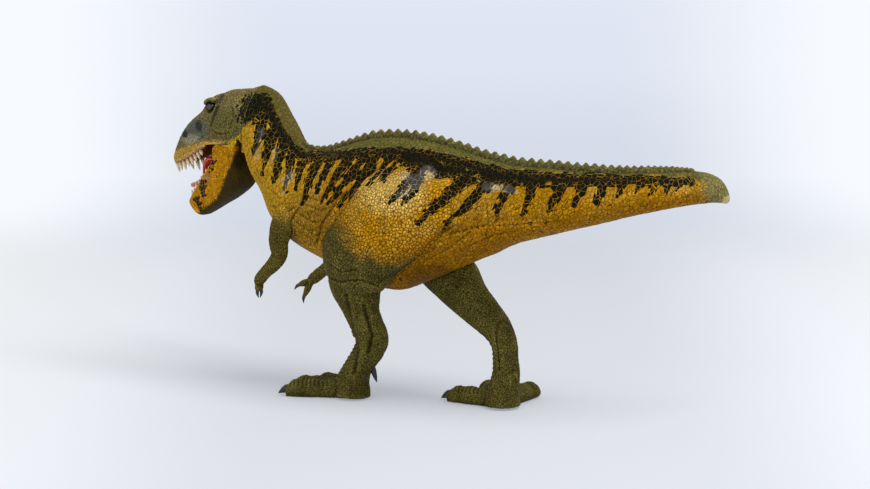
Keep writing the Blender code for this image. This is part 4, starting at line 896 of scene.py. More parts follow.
def skull_ring(place):
    forward, top, waist, bottom, half_width = skull_at(place)
    upper = (SKULL_TOP_POWER, top - waist, SKULL_TAPER_SHARE)
    return boxy_ring(HEAD, forward, half_width, waist, upper, (SKULL_BASE_POWER, waist - bottom, 0))


def jaw_ring(place):
    forward_share, bottom_share, width_share = spline(JAW_SHARES, place)
    forward = forward_share * JAW_LENGTH
    slope = (SLOT_LENGTH - CHEEK_WALL - forward) / (CHEEK_FLAP_HEIGHT * FLAP_SLOPE_SHARE)
    upper = (JAW_FLAP_POWER, CHEEK_FLAP_HEIGHT * max(0.0, min(1.0, slope)), 0)
    return boxy_ring(JAW, forward, width_share * HEAD_WIDTH, 0, upper, (JAW_POWER, bottom_share * JAW_DEPTH, 0))


def jaw_half_width(forward):
    (_, half_width) = reading(JAW_SHARES, forward / JAW_LENGTH)
    return half_width * HEAD_WIDTH


def between_rows(half_width, inset):
    """Half the room between the two sides of a tooth row's groove."""
    return half_width - inset - GUM_THICKNESS / 2 - FIT_GAP - GUM_WALL


def roof_ring(place):
    """A section of the mouth's arched roof, as a tool to cut with."""
    station, arch = spline(MOUTH_ROOF_SHARES, place)
    forward, _, _, bottom, half_width = skull_at(station)
    upper = (MOUTH_ROOF_POWER, arch * HEAD_HEIGHT, 0)
    lower = (MOUTH_ROOF_POWER, MOUTH_ROOF_DROP_SHARE * HEAD_HEIGHT, 0)
    return boxy_ring(HEAD, forward, between_rows(half_width, UPPER_TOOTH_INSET), bottom, upper, lower, LIMB_SIDES)


def floor_ring(place):
    """A section of the mouth's floor and the room above it, as a tool to cut with."""
    share, sink = spline(MOUTH_FLOOR_SHARES, place)
    forward = share * JAW_LENGTH
    out = between_rows(jaw_half_width(forward), LOWER_TOOTH_INSET)
    lower = (MOUTH_FLOOR_POWER, sink * JAW_FLOOR_SHARE * JAW_DEPTH, 0)
    return boxy_ring(JAW, forward, out, 0, (MOUTH_FLOOR_POWER, HEAD_HEIGHT, 0), lower, LIMB_SIDES)


def cheek_slot(sign):
    """The pocket that one side of the lower jaw swings in."""
    gap = JAW_SIDE_GAP
    inner = JAW_SLOT_INNER_SHARE * HEAD_WIDTH
    round_radius = JAW_EAR_RADIUS + 2 * gap
    low = -2 * JAW_DEPTH
    rings = []
    for share in SLOT_STATION_SHARES:
        forward = share * round_radius if share < 0 else share * SLOT_LENGTH
        outer = jaw_half_width(max(forward, 0)) + gap
        top = CHEEK_FLAP_HEIGHT + 3 * gap
        if forward < 0:
            top = math.sqrt(round_radius**2 - forward**2) + gap
        corners = ((inner, low), (outer, low), (outer, top), (inner, top))
        rings.append([HEAD @ Vector((forward, -sign * out, height)) for out, height in corners])
    return solid("slot", rings)


def skull():
    """Skull and upper jaw with brows, hollowed for the mouth and slotted for the jaw's cheeks."""
    centre, side, up = body_section(0)
    neck_ring = oval(centre + neck_end()[1] * FIT_GAP, side, up, HEAD_SIDES, BACK_TAPER_SHARE)
    head = solid("head", [neck_ring] + smooth_rings(skull_ring, len(SKULL_SHARES)))
    knuckle_half = JAW_SLOT_INNER_SHARE * HEAD_WIDTH + CHEEK_WALL
    combine(head, rod("knuckle", HEAD, knuckle_half, JAW_EAR_RADIUS), "UNION")
    for sign in (LEFT, RIGHT):
        brow_centre = (EYE_AHEAD, -sign * BROW_OUT_SHARE * HEAD_WIDTH, EYE_UP + EYE_RADIUS * BROW_RISE_SHARE)
        brow_radii = [EYE_RADIUS * share for share in BROW_RADIUS_SHARES]
        combine(head, lump("brow", HEAD, brow_centre, brow_radii), "UNION")
        combine(head, cheek_slot(sign), "DIFFERENCE")
    roof = solid("mouth roof", smooth_rings(roof_ring, len(MOUTH_ROOF_SHARES), STEPS // 2))
    combine(head, roof, "DIFFERENCE")
    return largest_body(head)


def jaw_shell():
    """The lower jaw with its ears, its hollow for the tongue and the room for the skull's middle."""
    jaw = solid("jaw", smooth_rings(jaw_ring, len(JAW_SHARES)))
    behind = box("behind", JAW, (-JAW_LENGTH, -HEAD_WIDTH, -HEAD_HEIGHT), (0, HEAD_WIDTH, HEAD_HEIGHT))
    combine(behind, rod("ear", JAW, 2 * HEAD_WIDTH, JAW_EAR_RADIUS), "DIFFERENCE")
    combine(jaw, behind, "DIFFERENCE")
    inner = JAW_SLOT_INNER_SHARE * HEAD_WIDTH + JAW_SIDE_GAP
    slot_steps = ((THROAT_START, 2 * JAW_DEPTH), (THROAT_END, THROAT_DEPTH), (SLOT_LENGTH, JAW_INNER_DROP))
    for reach, depth in slot_steps:
        slot = box("middle slot", JAW, (-JAW_LENGTH, -inner, -depth), (reach, inner, HEAD_HEIGHT))
        combine(jaw, slot, "DIFFERENCE")
    floor = solid("mouth floor", smooth_rings(floor_ring, len(MOUTH_FLOOR_SHARES), STEPS // 2))
    combine(jaw, floor, "DIFFERENCE")
    return largest_body(jaw)


def upper_lip(row):
    return row[0] * HEAD_LENGTH, row[2] * HEAD_HEIGHT, row[3] * HEAD_WIDTH


def lower_lip(row):
    return row[0] * JAW_LENGTH, 0.0, row[2] * HEAD_WIDTH


def arcade(rows, lip, inset, first, last):
    """The middle line of a tooth row, from the back of the mouth on the left round its front to the right."""
    side = []
    for k in range(ARCADE_STEPS + 1):
        forward, height, half_width = lip(spline(rows, first + (last - first) * k / ARCADE_STEPS))
        side.append(Vector((forward, half_width - inset, height)))
    corner = side[-1]
    front = []
    for k in range(1, ARCADE_STEPS):
        angle = math.pi * k / ARCADE_STEPS
        bulge = corner.y * FRONT_BULGE_SHARE * math.sin(angle)
        front.append(Vector((corner.x + bulge, corner.y * math.cos(angle), corner.z)))
    other_side = [Vector((point.x, -point.y, point.z)) for point in reversed(side)]
    return side + front + other_side


def gum_rings(place, path, rise):
    """Sections of the rounded gum ridge that the teeth stand in, along the row."""
    rings = []
    for k, point in enumerate(path):
        near = path[max(k - 1, 0)]
        far = path[min(k + 1, len(path) - 1)]
        across = UP.cross((far - near).normalized()).normalized() * GUM_THICKNESS / 2
        middle = point + Vector((0, 0, rise * GUM_DEPTH / 2))
        ring = []
        for i in range(GUM_SIDES):
            c, s = boxy(TAU * i / GUM_SIDES, GUM_POWER)
            ring.append(place @ (middle + across * c + Vector((0, 0, rise * s * GUM_DEPTH / 2))))
        rings.append(ring)
    return rings


def tooth_places(path, pitch, margin):
    """Evenly spaced points along a path, with the direction along it and the share of the way round."""
    lengths = [0.0]
    for near, far in zip(path, path[1:]):
        lengths.append(lengths[-1] + (far - near).length)
    usable = lengths[-1] - 2 * margin
    count = int(usable / pitch)
    count += count % 2
    table = [(length, *point) for length, point in zip(lengths, path)]
    for k in range(count):
        distance = margin + usable * (k + 0.5) / count
        here, ahead, behind = (Vector(reading(table, distance + step)) for step in (0, margin / 2, -margin / 2))
        yield here, (ahead - behind).normalized(), distance / lengths[-1]


def tooth_row(place, path, pitch, length, end_share, rise):
    """Sections of a gum ridge and of its pointed, backward-curved teeth, one set for each."""
    ring_sets = [gum_rings(place, path, rise)]
    for number, (foot, along, way) in enumerate(tooth_places(path, pitch, GUM_THICKNESS)):
        out = UP.cross(along)
        side_way = abs(way - 0.5) * 2
        size = 1 - (1 - end_share) * side_way**TOOTH_SHRINK_POWER
        size *= FRONT_TOOTH_SHARE if side_way < FRONT_TEETH_RUN_SHARE else 1.0
        size *= 1.0 if number % 2 else UNEVEN_TOOTH_SHARE
        reach = length * size
        rings = []
        for share, width in TOOTH_SHARES:
            bend = Vector((-1, 0, 0)) * reach * TOOTH_BEND_SHARE * max(share, 0) ** 2
            middle = foot + Vector((0, 0, -rise * share * reach)) + bend
            radius = width * TOOTH_THICKNESS / 2
            rings.append([place @ point for point in oval(middle, along * radius, out * radius, TOOTH_SIDES)])
        ring_sets.append(rings)
    return ring_sets


def tongue_ring(place):
    """A section of the tongue, with the groove along its middle."""
    forward, height, width, thick, tilt = spline(TONGUE_SHARES, place)
    seat = FIT_GAP + TONGUE_THICKNESS / 2 - JAW_FLOOR_SHARE * JAW_DEPTH
    centre = Vector((TONGUE_BACK + forward * TONGUE_LENGTH, 0, seat + height * TONGUE_LENGTH))
    half = width * TONGUE_WIDTH / 2
    angle = math.radians(tilt)
    up = Vector((-math.sin(angle), 0, math.cos(angle))) * thick * TONGUE_THICKNESS / 2
    ring = []
    for i in range(LIMB_SIDES):
        turn = TAU * i / LIMB_SIDES
        groove = TONGUE_GROOVE_SHARE * math.exp(-((math.cos(turn) / TONGUE_GROOVE_WIDTH_SHARE) ** 2))
        rise = math.sin(turn) - (groove if math.sin(turn) > 0 else 0)
        ring.append(JAW @ (centre + Vector((0, -half * math.cos(turn), 0)) + up * rise))
    return ring


def leg_section(rows, place, side):
    """Centre, fore vector and side vector of a leg's section."""
    back, out, height, fore, wide = spline(rows, place)
    low = spline(rows, min(place + LIMB_STEP, len(rows) - 1))
    high = spline(rows, max(place - LIMB_STEP, 0))
    lean = math.atan2((low[0] - high[0]) * TORSO_LENGTH, (high[2] - low[2]) * HIP_HEIGHT)
    lean *= max(0.0, min(1.0, (THIN_SHARE - fore) / (THIN_SHARE / 2)))
    centre = Vector((back * TORSO_LENGTH, side * out * HIP_WIDTH, height * HIP_HEIGHT))
    fore_vector = Vector((math.cos(lean), 0, math.sin(lean))) * fore * THIGH_LENGTH
    return centre, fore_vector, Vector((0, wide * THIGH_BULGE, 0))


def claw_rings(start, along, length, radius, droop):
    """Sections of a curved, pointed claw that leaves its start along one way and bends down."""
    across = UP.cross(along).normalized()
    up = along.cross(across)
    rings = []
    for share, fat in CLAW_SHARES:
        centre = start + along * length * share - up * length * droop * max(share, 0) ** 2
        rings.append(oval(centre, across * radius * fat * CLAW_FLATNESS_SHARE, up * radius * fat, TOE_SIDES))
    return rings


def toe_ring(foot, along, reach, place):
    share, fat = spline(TOE_SHARES, place)
    radius = fat * TOE_RADIUS
    middle = foot + along * share * reach
    middle.z = radius * TOE_FLATNESS_SHARE - SOLE_CUT
    across = UP.cross(along)
    return oval(middle, across * radius, Vector((0, 0, radius * TOE_FLATNESS_SHARE)), TOE_SIDES)


def leg_parts(rows, side):
    """Rings of a leg and its toes, and rings of its claws."""
    last = len(rows) - 1
    skins = [smooth_rings(lambda place: oval(*leg_section(rows, place, side), LIMB_SIDES), len(rows))]
    claws = []
    foot = leg_section(rows, last, side)[0]
    for degrees, reach_share in zip(TOE_ANGLES[side], TOE_REACH_SHARES[side]):
        angle = math.radians(degrees)
        along = Vector((-math.cos(angle), side * math.sin(angle), 0))
        reach = reach_share * TOE_LENGTH
        skins.append(smooth_rings(lambda place: toe_ring(foot, along, reach, place), len(TOE_SHARES)))
        root = foot + along * reach
        root.z = CLAW_HEIGHT_SHARE * TOE_RADIUS
        claws.append(claw_rings(root, along, CLAW_LENGTH, CLAW_RADIUS, CLAW_DROOP_SHARE))
    centre, back, out = leg_section(rows, last - DEWCLAW_STATIONS_UP, side)
    spur = centre + back * DEWCLAW_BACK_SHARE - out * side * DEWCLAW_IN_SHARE
    down = Vector((math.sin(DEWCLAW_LEAN), 0, -math.cos(DEWCLAW_LEAN)))
    dewclaw = claw_rings(spur, down, DEWCLAW_LENGTH, DEWCLAW_RADIUS, 0)
    (claws if side == LEFT else skins).append(dewclaw)
    return skins, claws


def arm_centre(rows, place, side):
    forward, down, out, radius = spline(rows, place)
    x = SHOULDER_X - forward * ARM_LENGTH
    z = SHOULDER_Z - down * ARM_LENGTH
    return Vector((x, side * out * SHOULDER_WIDTH, z)), radius * ARM_RADIUS


def arm_ring(rows, place, side):
    centre, radius = arm_centre(rows, place, side)
    ahead = arm_centre(rows, min(place + LIMB_STEP, len(rows) - 1), side)[0]
    behind = arm_centre(rows, max(place - LIMB_STEP, 0), side)[0]
    along = (ahead - behind).normalized()
    across = along.cross(Vector((0, 1, 0))).normalized()
    return oval(centre, across * radius, along.cross(across) * radius * ARM_FLATNESS_SHARE, TOE_SIDES)


def finger_ring(palm, way, reach, place):
    share, fat = spline(FINGER_SHARES, place)
    thick = fat * FINGER_RADIUS
    across = UP.cross(way).normalized()
    return oval(palm + way * share * reach, across * thick, across.cross(way) * thick, TOE_SIDES)


def arm_parts(rows, side):
    """Rings of an arm and its fingers, and rings of its claws."""
    skins = [smooth_rings(lambda place: arm_ring(rows, place, side), len(rows))]
    claws = []
    palm = arm_centre(rows, len(rows) - 1 - PALM_STATIONS_UP, side)[0]
    reach = FINGER_REACH_SHARES[side] * FINGER_LENGTH
    for degrees, lean in FINGER_ANGLES[side]:
        angle = math.radians(degrees)
        way = Vector((-math.cos(angle), lean, -math.sin(angle))).normalized()
        skins.append(smooth_rings(lambda place: finger_ring(palm, way, reach, place), len(FINGER_SHARES)))
        nail = FINGER_RADIUS * FINGER_CLAW_SHARE
        claws.append(claw_rings(palm + way * reach, way, FINGER_CLAW_LENGTH, nail, CLAW_DROOP_SHARE))
    return skins, claws


def values_of(items, field, width, kind=float):
    """One property of a mesh's items as a table with so many values in each row."""
    lengths = {"co": 3, "vertices": 2, "vertex_index": 1}
    values = np.empty(len(items) * lengths[field], kind)
    items.foreach_get(field, values)
    return values.reshape(-1, width)


def fused(name, objects, voxel):
    """Points, edges and quads of one outer skin around overlapping closed solids."""
    mesh = bmesh.new()
    for source in objects:
        mesh.from_mesh(source.data)
    data = bpy.data.meshes.new(name)
    mesh.to_mesh(data)
    mesh.free()
    soup = placed(name, data)
    modifier = soup.modifiers.new("voxels", "REMESH")
    modifier.mode = "VOXEL"
    modifier.voxel_size = voxel
    settle(soup)
    result = largest_body(soup).data
    bpy.data.objects.remove(soup)
    points = values_of(result.vertices, "co", 3)
    edges = values_of(result.edges, "vertices", 2, int)
    quads = values_of(result.loops, "vertex_index", 4, int)
    assert len(quads) == len(result.polygons)
    return smoothed(points, edges, SMOOTH_ROUNDS, (FAIR_IN, FAIR_OUT)), edges, quads


def around(values, edges):
    """The mean of each point's neighbours."""
    count = len(values)
    total = np.empty_like(values)
    for k in range(values.shape[1]):
        a = np.bincount(edges[:, 0], values[edges[:, 1], k], count)
        b = np.bincount(edges[:, 1], values[edges[:, 0], k], count)
        total[:, k] = a + b
    return total / np.bincount(edges.ravel(), minlength=count)[:, None]


def smoothed(values, edges, rounds, shares=(0.5,)):
    for _ in range(rounds):
        for share in shares:
            values = values + share * (around(values, edges) - values)
    return values


def normals_of(points, quads):
    across = points[quads[:, 2]] - points[quads[:, 0]]
    along = points[quads[:, 3]] - points[quads[:, 1]]
    facing = np.cross(across, along)
    total = np.empty_like(points)
    for k in range(3):
        total[:, k] = sum(np.bincount(quads[:, i], facing[:, k], len(points)) for i in range(4))
    return total / np.maximum(np.linalg.norm(total, axis=1), 1e-12)[:, None]


def nearest_faces(objects, points):
    """For each point the nearest face of some solids: the number of its solid and its own number."""
    corners = []
    faces = []
    owner = []
    for number, source in enumerate(objects):
        start = len(corners)
        corners += [vertex.co.copy() for vertex in source.data.vertices]
        for face in source.data.polygons:
            faces.append([start + index for index in face.vertices])
            owner.append((number, face.index))
    tree = BVHTree.FromPolygons(corners, faces)
    return np.array(owner)[[tree.find_nearest(point)[2] for point in points.tolist()]]


def value_noise(points, size, seed):
    """Smooth noise from -1 to 1 with lumps of the given size."""
    scaled = points / size
    base = np.floor(scaled).astype(np.int64)
    t = scaled - base
    t = t * t * (3 - 2 * t)
    total = np.zeros(len(points))
    for corner in range(8):
        step = np.array([corner & 1, corner >> 1 & 1, corner >> 2 & 1])
        bits = seed * NOISE_KEYS[3]
        for k in range(3):
            bits = bits ^ (base + step)[:, k] * NOISE_KEYS[k]
        bits = (bits ^ (bits >> 13)) * NOISE_SCATTER & 0xFFFFFFFF
        bits = (bits ^ (bits >> 16)) & 0xFFFF
        weight = np.prod(np.where(step == 1, t, 1 - t), axis=1)
        total += weight * (bits / 0x7FFF - 1)
    return total


def rough_noise(points, size, seed, layers=3):
    total = np.zeros(len(points))
    for layer in range(layers):
        total += value_noise(points, size / 2**layer, seed + layer) / 2**layer
    return total


def smooth_step(value, low, high):
    t = np.clip((value - low) / (high - low), 0, 1)
    return t * t * (3 - 2 * t)


def hump(value, width):
    """One where a value is zero, falling away smoothly on both sides."""
    return np.exp(-((value / width) ** 2))


def photo_places(points):
    """Where points of the figure lie in the photograph, in pixels right and down."""
    turn = np.array(LOOK.to_matrix())
    local = (points - np.array(CAMERA_PLACE)) @ turn
    right = PHOTO_WIDTH / 2 + FOCAL_PIXELS * local[:, 0] / -local[:, 2]
    down = PHOTO_HEIGHT / 2 - FOCAL_PIXELS * local[:, 1] / -local[:, 2]
    return np.stack([right, down], axis=1)


def stroke_depth(places, stroke):
    """How far inside a tapering brush stroke each place lies, in pixels; below zero outside it."""
    first_half_width, last_half_width, *path = stroke
    path = np.array(path, float)
    lengths = path_lengths(path)
    best = np.full(len(places), -1e9)
    for k in range(len(path) - 1):
        run = path[k + 1] - path[k]
        away = places - path[k]
        t = np.clip(away @ run / (run @ run), 0, 1)
        share = (lengths[k] + t * np.linalg.norm(run)) / lengths[-1]
        half_width = first_half_width + (last_half_width - first_half_width) * share
        distance = np.linalg.norm(away - t[:, None] * run, axis=1)
        best = np.maximum(best, half_width - distance)
    return best


def deepest(places, strokes):
    return np.max([stroke_depth(places, stroke) for stroke in strokes], axis=0)


def reliefs(places, strokes):
    """The height or depth of each fold at every place, in millimetres."""
    for height, half_width, *path in strokes:
        yield height * hump(-stroke_depth(places, (0.0, 0.0, *path)), half_width)


def line_height(places, line):
    """How far above a line through the photograph each place lies, in pixels."""
    line = np.array(line, float)
    return np.interp(places[:, 0], line[:, 0], line[:, 1]) - places[:, 1]


def oval_reach(places, centre, radii):
    """The distance from the middle of an oval of the photograph, as a share of its radii."""
    return np.linalg.norm((places - np.array(centre)) / np.array(radii), axis=1)


def blob(places, centre, radii):
    """One in the middle of an oval of the photograph, falling to zero at its rim and beyond."""
    return 1 - smooth_step(oval_reach(places, centre, radii), BLOB_CORE_SHARE, 1.0)


def mixed(colours, other, share):
    share = np.clip(share, 0, 1)[:, None]
    return colours * (1 - share) + np.array(other) * share


def coated(base, count, coats):
    """Colours of a base and of further coats of paint over it, each one with its share at every point."""
    colours = np.tile(np.array(base), (count, 1))
    for coat, share in coats:
        colours = mixed(colours, coat, share)
    return colours


def stripe_dark(inside):
    """How surely each place is inside a dark stripe, from zero to three; halves fall to single scales."""
    return np.clip(0.5 + (inside + 0.5) / (2 * STRIPE_JITTER), 0, 3)


def mirrored_in(place, points):
    """Points of the right half of a head's or jaw's frame, moved to their twins on the left; and frame places."""
    turn = np.array(place.to_3x3())
    origin = np.array(place.translation)
    local = (points - origin) @ turn
    twins = local.copy()
    twins[:, 1] = np.abs(local[:, 1])
    return twins @ turn.T + origin, local


def mirrored_in_body(points, rows):
    """Points right of the trunk's middle, moved to their twins on its left; and how far right each one lies."""
    sections = [body_section(k / STEPS) for k in range(LAST_STATION * STEPS + 1)]
    centres = np.array([centre for centre, _, _ in sections])[rows]
    sides = np.array([side.normalized() for _, side, _ in sections])[rows]
    right = np.sum((points - centres) * sides, axis=1)
    return points - np.where(right > 0, 2 * right, 0)[:, None] * sides, right


def scale_edges(places, scale):
    """Distance to the nearest border between scales, from the same texture that the paint reads."""
    data = bpy.data.meshes.new("scale places")
    data.vertices.add(len(places))
    data.vertices.foreach_set("co", places.ravel())
    tree = bpy.data.node_groups.new("scale borders", "GeometryNodeTree")
    for way in ("INPUT", "OUTPUT"):
        tree.interface.new_socket("Geometry", in_out=way, socket_type="NodeSocketGeometry")
    net = Net(tree)
    entry = net.add("NodeGroupInput", {})
    position = net.add("GeometryNodeInputPosition", {})
    border = net.scales(position.outputs[0], scale, "DISTANCE_TO_EDGE").outputs["Distance"]
    stored = {"Geometry": entry.outputs[0], "Name": "edge", "Value": border}
    store = net.add("GeometryNodeStoreNamedAttribute", stored, data_type="FLOAT", domain="POINT")
    net.add("NodeGroupOutput", {0: store.outputs["Geometry"]})
    carrier = placed("scale places", data)
    carrier.modifiers.new("borders", "NODES").node_group = tree
    settle(carrier)
    edges = np.empty(len(places))
    carrier.data.attributes["edge"].data.foreach_get("value", edges)
    bpy.data.objects.remove(carrier)
    return edges


def skin_places(points, label):
    """Where each point reads the scales' texture: stretched along the flank, and finer towards the feet."""
    along = np.array(STRETCH)
    places = points + np.outer(points @ along, along) * (STRETCH_SHARE - 1)
    for name, rows, side in LEGS:
        mine = label == name
        height = points[mine, 2]
        centres = np.array([leg_section(rows, k, side)[0] for k in range(len(rows))])[::-1]
        heights = np.linspace(0, centres[-1, 2] + THIGH_LENGTH, LEG_SAMPLES)
        fineness = 1 + FOOT_FINENESS * (1 - smooth_step(heights, *FINENESS_HEIGHTS))
        climb = np.concatenate([[0], np.cumsum((fineness[1:] + fineness[:-1]) / 2 * np.diff(heights))])
        s = np.interp(height, heights, fineness)
        for k in range(2):
            middle = np.interp(height, centres[:, 2], centres[:, k])
            places[mine, k] = (points[mine, k] - middle) * s + middle
        places[mine, 2] = np.interp(height, heights, climb)
    fine = np.isin(label, ("head", "left_arm", "right_arm"))
    places[fine] = points[fine] * HEAD_FINENESS
    return places


def trunk_paint(places, normals, label, points):
    """Colours, stripe depth, line strength, and rubbed paint with a painted sheen, of everything but the head, by
    its place in the photograph.
    """
    x, y = places.T
    z = points[:, 2]
    down = -normals[:, 2]
    leg = np.isin(label, ("left_leg", "right_leg"))
    arm = np.isin(label, ("left_arm", "right_arm"))
    patch = rough_noise(points, PATCH_SIZE, 11)
    fleck = rough_noise(points, FLECK_SIZE, 23)
    # Painted shade with the underside's own orange-brown paint: faces that turn down under the belly and the tail
    # go deeper
    belly = smooth_step(down, -0.25, 0.7) * smooth_step(x, 330, 400)
    under_tail = smooth_step(down, -0.35, 0.35) * smooth_step(x, 590, 650)
    above = line_height(places, OLIVE_LINE) + 2.2 * fleck
    olive = smooth_step(above, -1.5, 3.0)
    back = mixed(np.tile(np.array(NECK_OLIVE), (len(x), 1)), OLIVE, smooth_step(x, 300, 330))
    leg_olive = smooth_step(oval_reach(places, *THIGH_OVAL) + 0.10 * patch, 0.72, 1.12) * smooth_step(y, 196, 232)
    leg_olive = np.maximum(leg_olive, smooth_step(z, 0.075, 0.062))
    coats = (
        (PALE_OCHRE, 0.16 + 0.22 * patch + 0.12 * fleck),
        (NECK_YELLOW, 0.7 * (1 - smooth_step(x, 285, 330))),
        # painted highlight on the top of the thigh
        (THIGH_HIGHLIGHT, 0.75 * blob(places, (392, 194), (44, 28))),
        # the underside's orange-brown paint, deepened as painted shade on faces that turn down, browner where the
        # thigh meets the belly
        (DEEP_OCHRE, 0.8 * under_tail),
        (DEEP_OCHRE, belly * (0.9 - 0.25 * smooth_step(x, 470, 560))),
        (BELLY_SHADE_BROWN, 0.7 * belly * blob(places, (428, 276), (34, 18))),
        (ARMPIT_OCHRE, 0.55 * blob(places, (305, 222), (42, 34))),
        (back, olive),
        (CREST_OLIVE, 0.9 * (label == "crest")),
        (TAIL_TIP_OLIVE, smooth_step(x + 3 * fleck, 696, 712)),
        (TIP_CREAM, blob(places, (728, 202), (8, 8))),
        (LEG_OLIVE, leg * leg_olive),
        (FOREARM_OLIVE, arm * smooth_step(y + 4 * fleck, 200, 228)),
        (LEG_OLIVE, 0.6 * (label == "right_arm")),
    )
    colours = coated(OCHRE, len(x), coats)
    tone = 1 + 0.30 * rough_noise(points, TONE_SIZE, 61) * (leg * leg_olive + arm)
    # Both legs darker towards the feet; the far leg's thigh painted lighter, as painted light
    tone *= 1 - 0.14 * leg * smooth_step(z, 0.060, 0.045)
    tone *= 1 + 0.22 * (label == "right_leg") * smooth_step(z, 0.045, 0.060)
    # pale rubbed paint with a painted sheen, in strokes and in random flecks
    rub_and_sheen = np.clip(deepest(places, RUB_AND_SHEEN_STROKES) / 4 + 0.6 * fleck, 0, 1)
    colours = mixed(colours * tone[:, None], PALE_RUB_AND_SHEEN, 0.8 * rub_and_sheen)
    inside = deepest(places, NECK_STRIPES + FLANK_STRIPES + TAIL_STRIPES)
    inside = np.maximum(np.where(above > 2.5, -9, inside), (deepest(places, NAPE_PATCH) + 1) / 2)
    dark = np.where(arm | (label == "crest"), 0, stripe_dark(inside))
    low = smooth_step(-line_height(places, FINE_LINE) + 3 * patch, -14, 6)
    lines = np.where(leg & (y > 190), 0.95, 0.25 + 0.75 * low) * (1 - 0.65 * olive)
    lines = np.where(arm, 0.95, np.where(leg, lines * (1 + 0.05 * leg_olive), lines))
    return colours, dark, lines, rub_and_sheen


def roof_share(local):
    """How surely each place of the skull is in the mouth's roof."""
    forward, out, up = local.T
    rows = np.array(smooth_rings(skull_at, len(SKULL_SHARES)))
    bottom, half_width = (np.interp(forward, rows[:, 0], rows[:, k]) for k in (3, 4))
    inner = smooth_step(half_width - np.abs(out), UPPER_TOOTH_INSET * 0.6, UPPER_TOOTH_INSET * 1.6)
    inner *= 1 - smooth_step(up - bottom, 0.24 * HEAD_HEIGHT, 0.34 * HEAD_HEIGHT)
    return inner * smooth_step(forward / HEAD_LENGTH, 0.0, 0.1)


def head_paint(places, local, points):
    """Colours, stripe depth and line strength of the skull."""
    x = places[:, 0]
    fleck = rough_noise(points, HEAD_FLECK_SIZE, 31)
    yellow = smooth_step(-line_height(places, OLIVE_LINE) + 2 * fleck, -1.5, 3.0) * smooth_step(x, 212, 226)
    lip = smooth_step(-line_height(places, LIP_LINE) + fleck, -2.0, 2.5) * (1 - smooth_step(x, 214, 230))
    roof = roof_share(local)
    coats = (
        (CHEEK_OLIVE, 0.85 * blob(places, (224, 126), (26, 24)) + 0.15 * fleck),
        (SLATE, blob(places, (190, 130), (24, 17)) + 0.1 * fleck),
        (PALE_SNOUT, 0.9 * blob(places, (190, 139), (11, 7))),
        (SNOUT_DARK, blob(places, (185, 134), (4, 5.5))),
        (SNOUT_DARK, blob(places, (198, 126), (4.5, 8))),
        (NECK_YELLOW, yellow),
        (LIP_TAN, lip),
        # painted shade in the eye socket under the brow
        (SOCKET_SHADE, 0.95 * blob(places, (209, 106), (5.5, 9))),
        (PURPLE_BROWN, np.clip(stroke_depth(places, (3, 1.5, (222, 95), (219, 103))) / 1.5, 0, 1)),
        # painted shade in the groove behind the eye
        (CHEEK_GROOVE_SHADE, np.clip(stroke_depth(places, CHEEK_GROOVE_SHADE_STROKE) / 1.5, 0, 0.9)),
        (LIP_SEAM, np.clip(stroke_depth(places, LIP_SEAM_STROKE), 0, 0.8)),
        (ROOF_MAROON, roof),
        (MOUTH_DARK, roof * (1 - smooth_step(local[:, 0] / HEAD_LENGTH, 0.25, 0.6))),
    )
    stripes = np.where(x > 250, deepest(places, NECK_STRIPES), -9)
    inside = np.maximum((deepest(places, NAPE_PATCH) + 1) / 2, stripes)
    return coated(HEAD_OLIVE, len(x), coats), stripe_dark(inside), 0.95 - 0.2 * yellow - 0.3 * lip


def jaw_paint(places, local, normals, points):
    """Colours, stripe depth and line strength of the lower jaw."""
    fleck = rough_noise(points, HEAD_FLECK_SIZE, 41)
    past_edge = places[:, 0] - np.interp(places[:, 1], *zip(*JAW_EDGE))
    below = np.maximum(smooth_step(past_edge + fleck, -1.5, 2.0), smooth_step(-normals[:, 2], 0.55, 0.80))
    widths = [(forward * JAW_LENGTH, width * HEAD_WIDTH) for forward, _, width in JAW_SHARES]
    half_width = np.interp(local[:, 0], *zip(*widths))
    inner = smooth_step(half_width - np.abs(local[:, 1]), LOWER_TOOTH_INSET * 0.35, LOWER_TOOTH_INSET * 0.6)
    inner *= smooth_step(normals[:, 2], -0.2, 0.3)
    coats = (
        (DEEP_OCHRE, 0.25 + 0.35 * fleck),
        (JAW_SPOT, 0.6 * blob(places, (207, 178), (4, 5))),
        (JAW_UNDER, below),
        # painted shadow where the jaw's underside meets the neck
        (THROAT_SHADOW, 0.9 * blob(places, (239, 160), (9, 15))),
        (MOUTH_RED, inner),
    )
    dark = np.clip(0.5 + (deepest(places, JAW_STRIPES) + fleck) / 2.4, 0, 1) * (1 - below)
    return coated(JAW_OCHRE, len(fleck), coats), dark, 0.95 * (1 - inner)


def grooves_across(places, depth, pitch, width):
    """Depth of repeating grooves, one each pitch."""
    return depth * hump(np.abs((places / pitch + 0.5) % 1 - 0.5) * pitch, width)


def foot_scutes(points, normals, label):
    """Depth of the grooves between the broad plates on the shanks' fronts and the toes' tops, in millimetres."""
    depth = np.zeros(len(points))
    for name, rows, side in LEGS:
        foot = np.array(leg_section(rows, len(rows) - 1, side)[0])
        mine = label == name
        low = mine & (points[:, 2] < 0.040) & (points[:, 2] > 0.008)
        front = smooth_step(-normals[low, 0], 0.35, 0.75) * smooth_step(points[low, 2], 0.040, 0.030)
        depth[low] = front * grooves_across(points[low, 2], *SHANK_PLATES)
        toes = mine & (points[:, 2] < 0.016)
        away = np.linalg.norm(points[toes, :2] - foot[:2], axis=1)
        top = smooth_step(normals[toes, 2], 0.35, 0.75) * smooth_step(away, 0.008, 0.012)
        depth[toes] = np.maximum(depth[toes], top * grooves_across(away, *TOE_PLATES))
    return depth


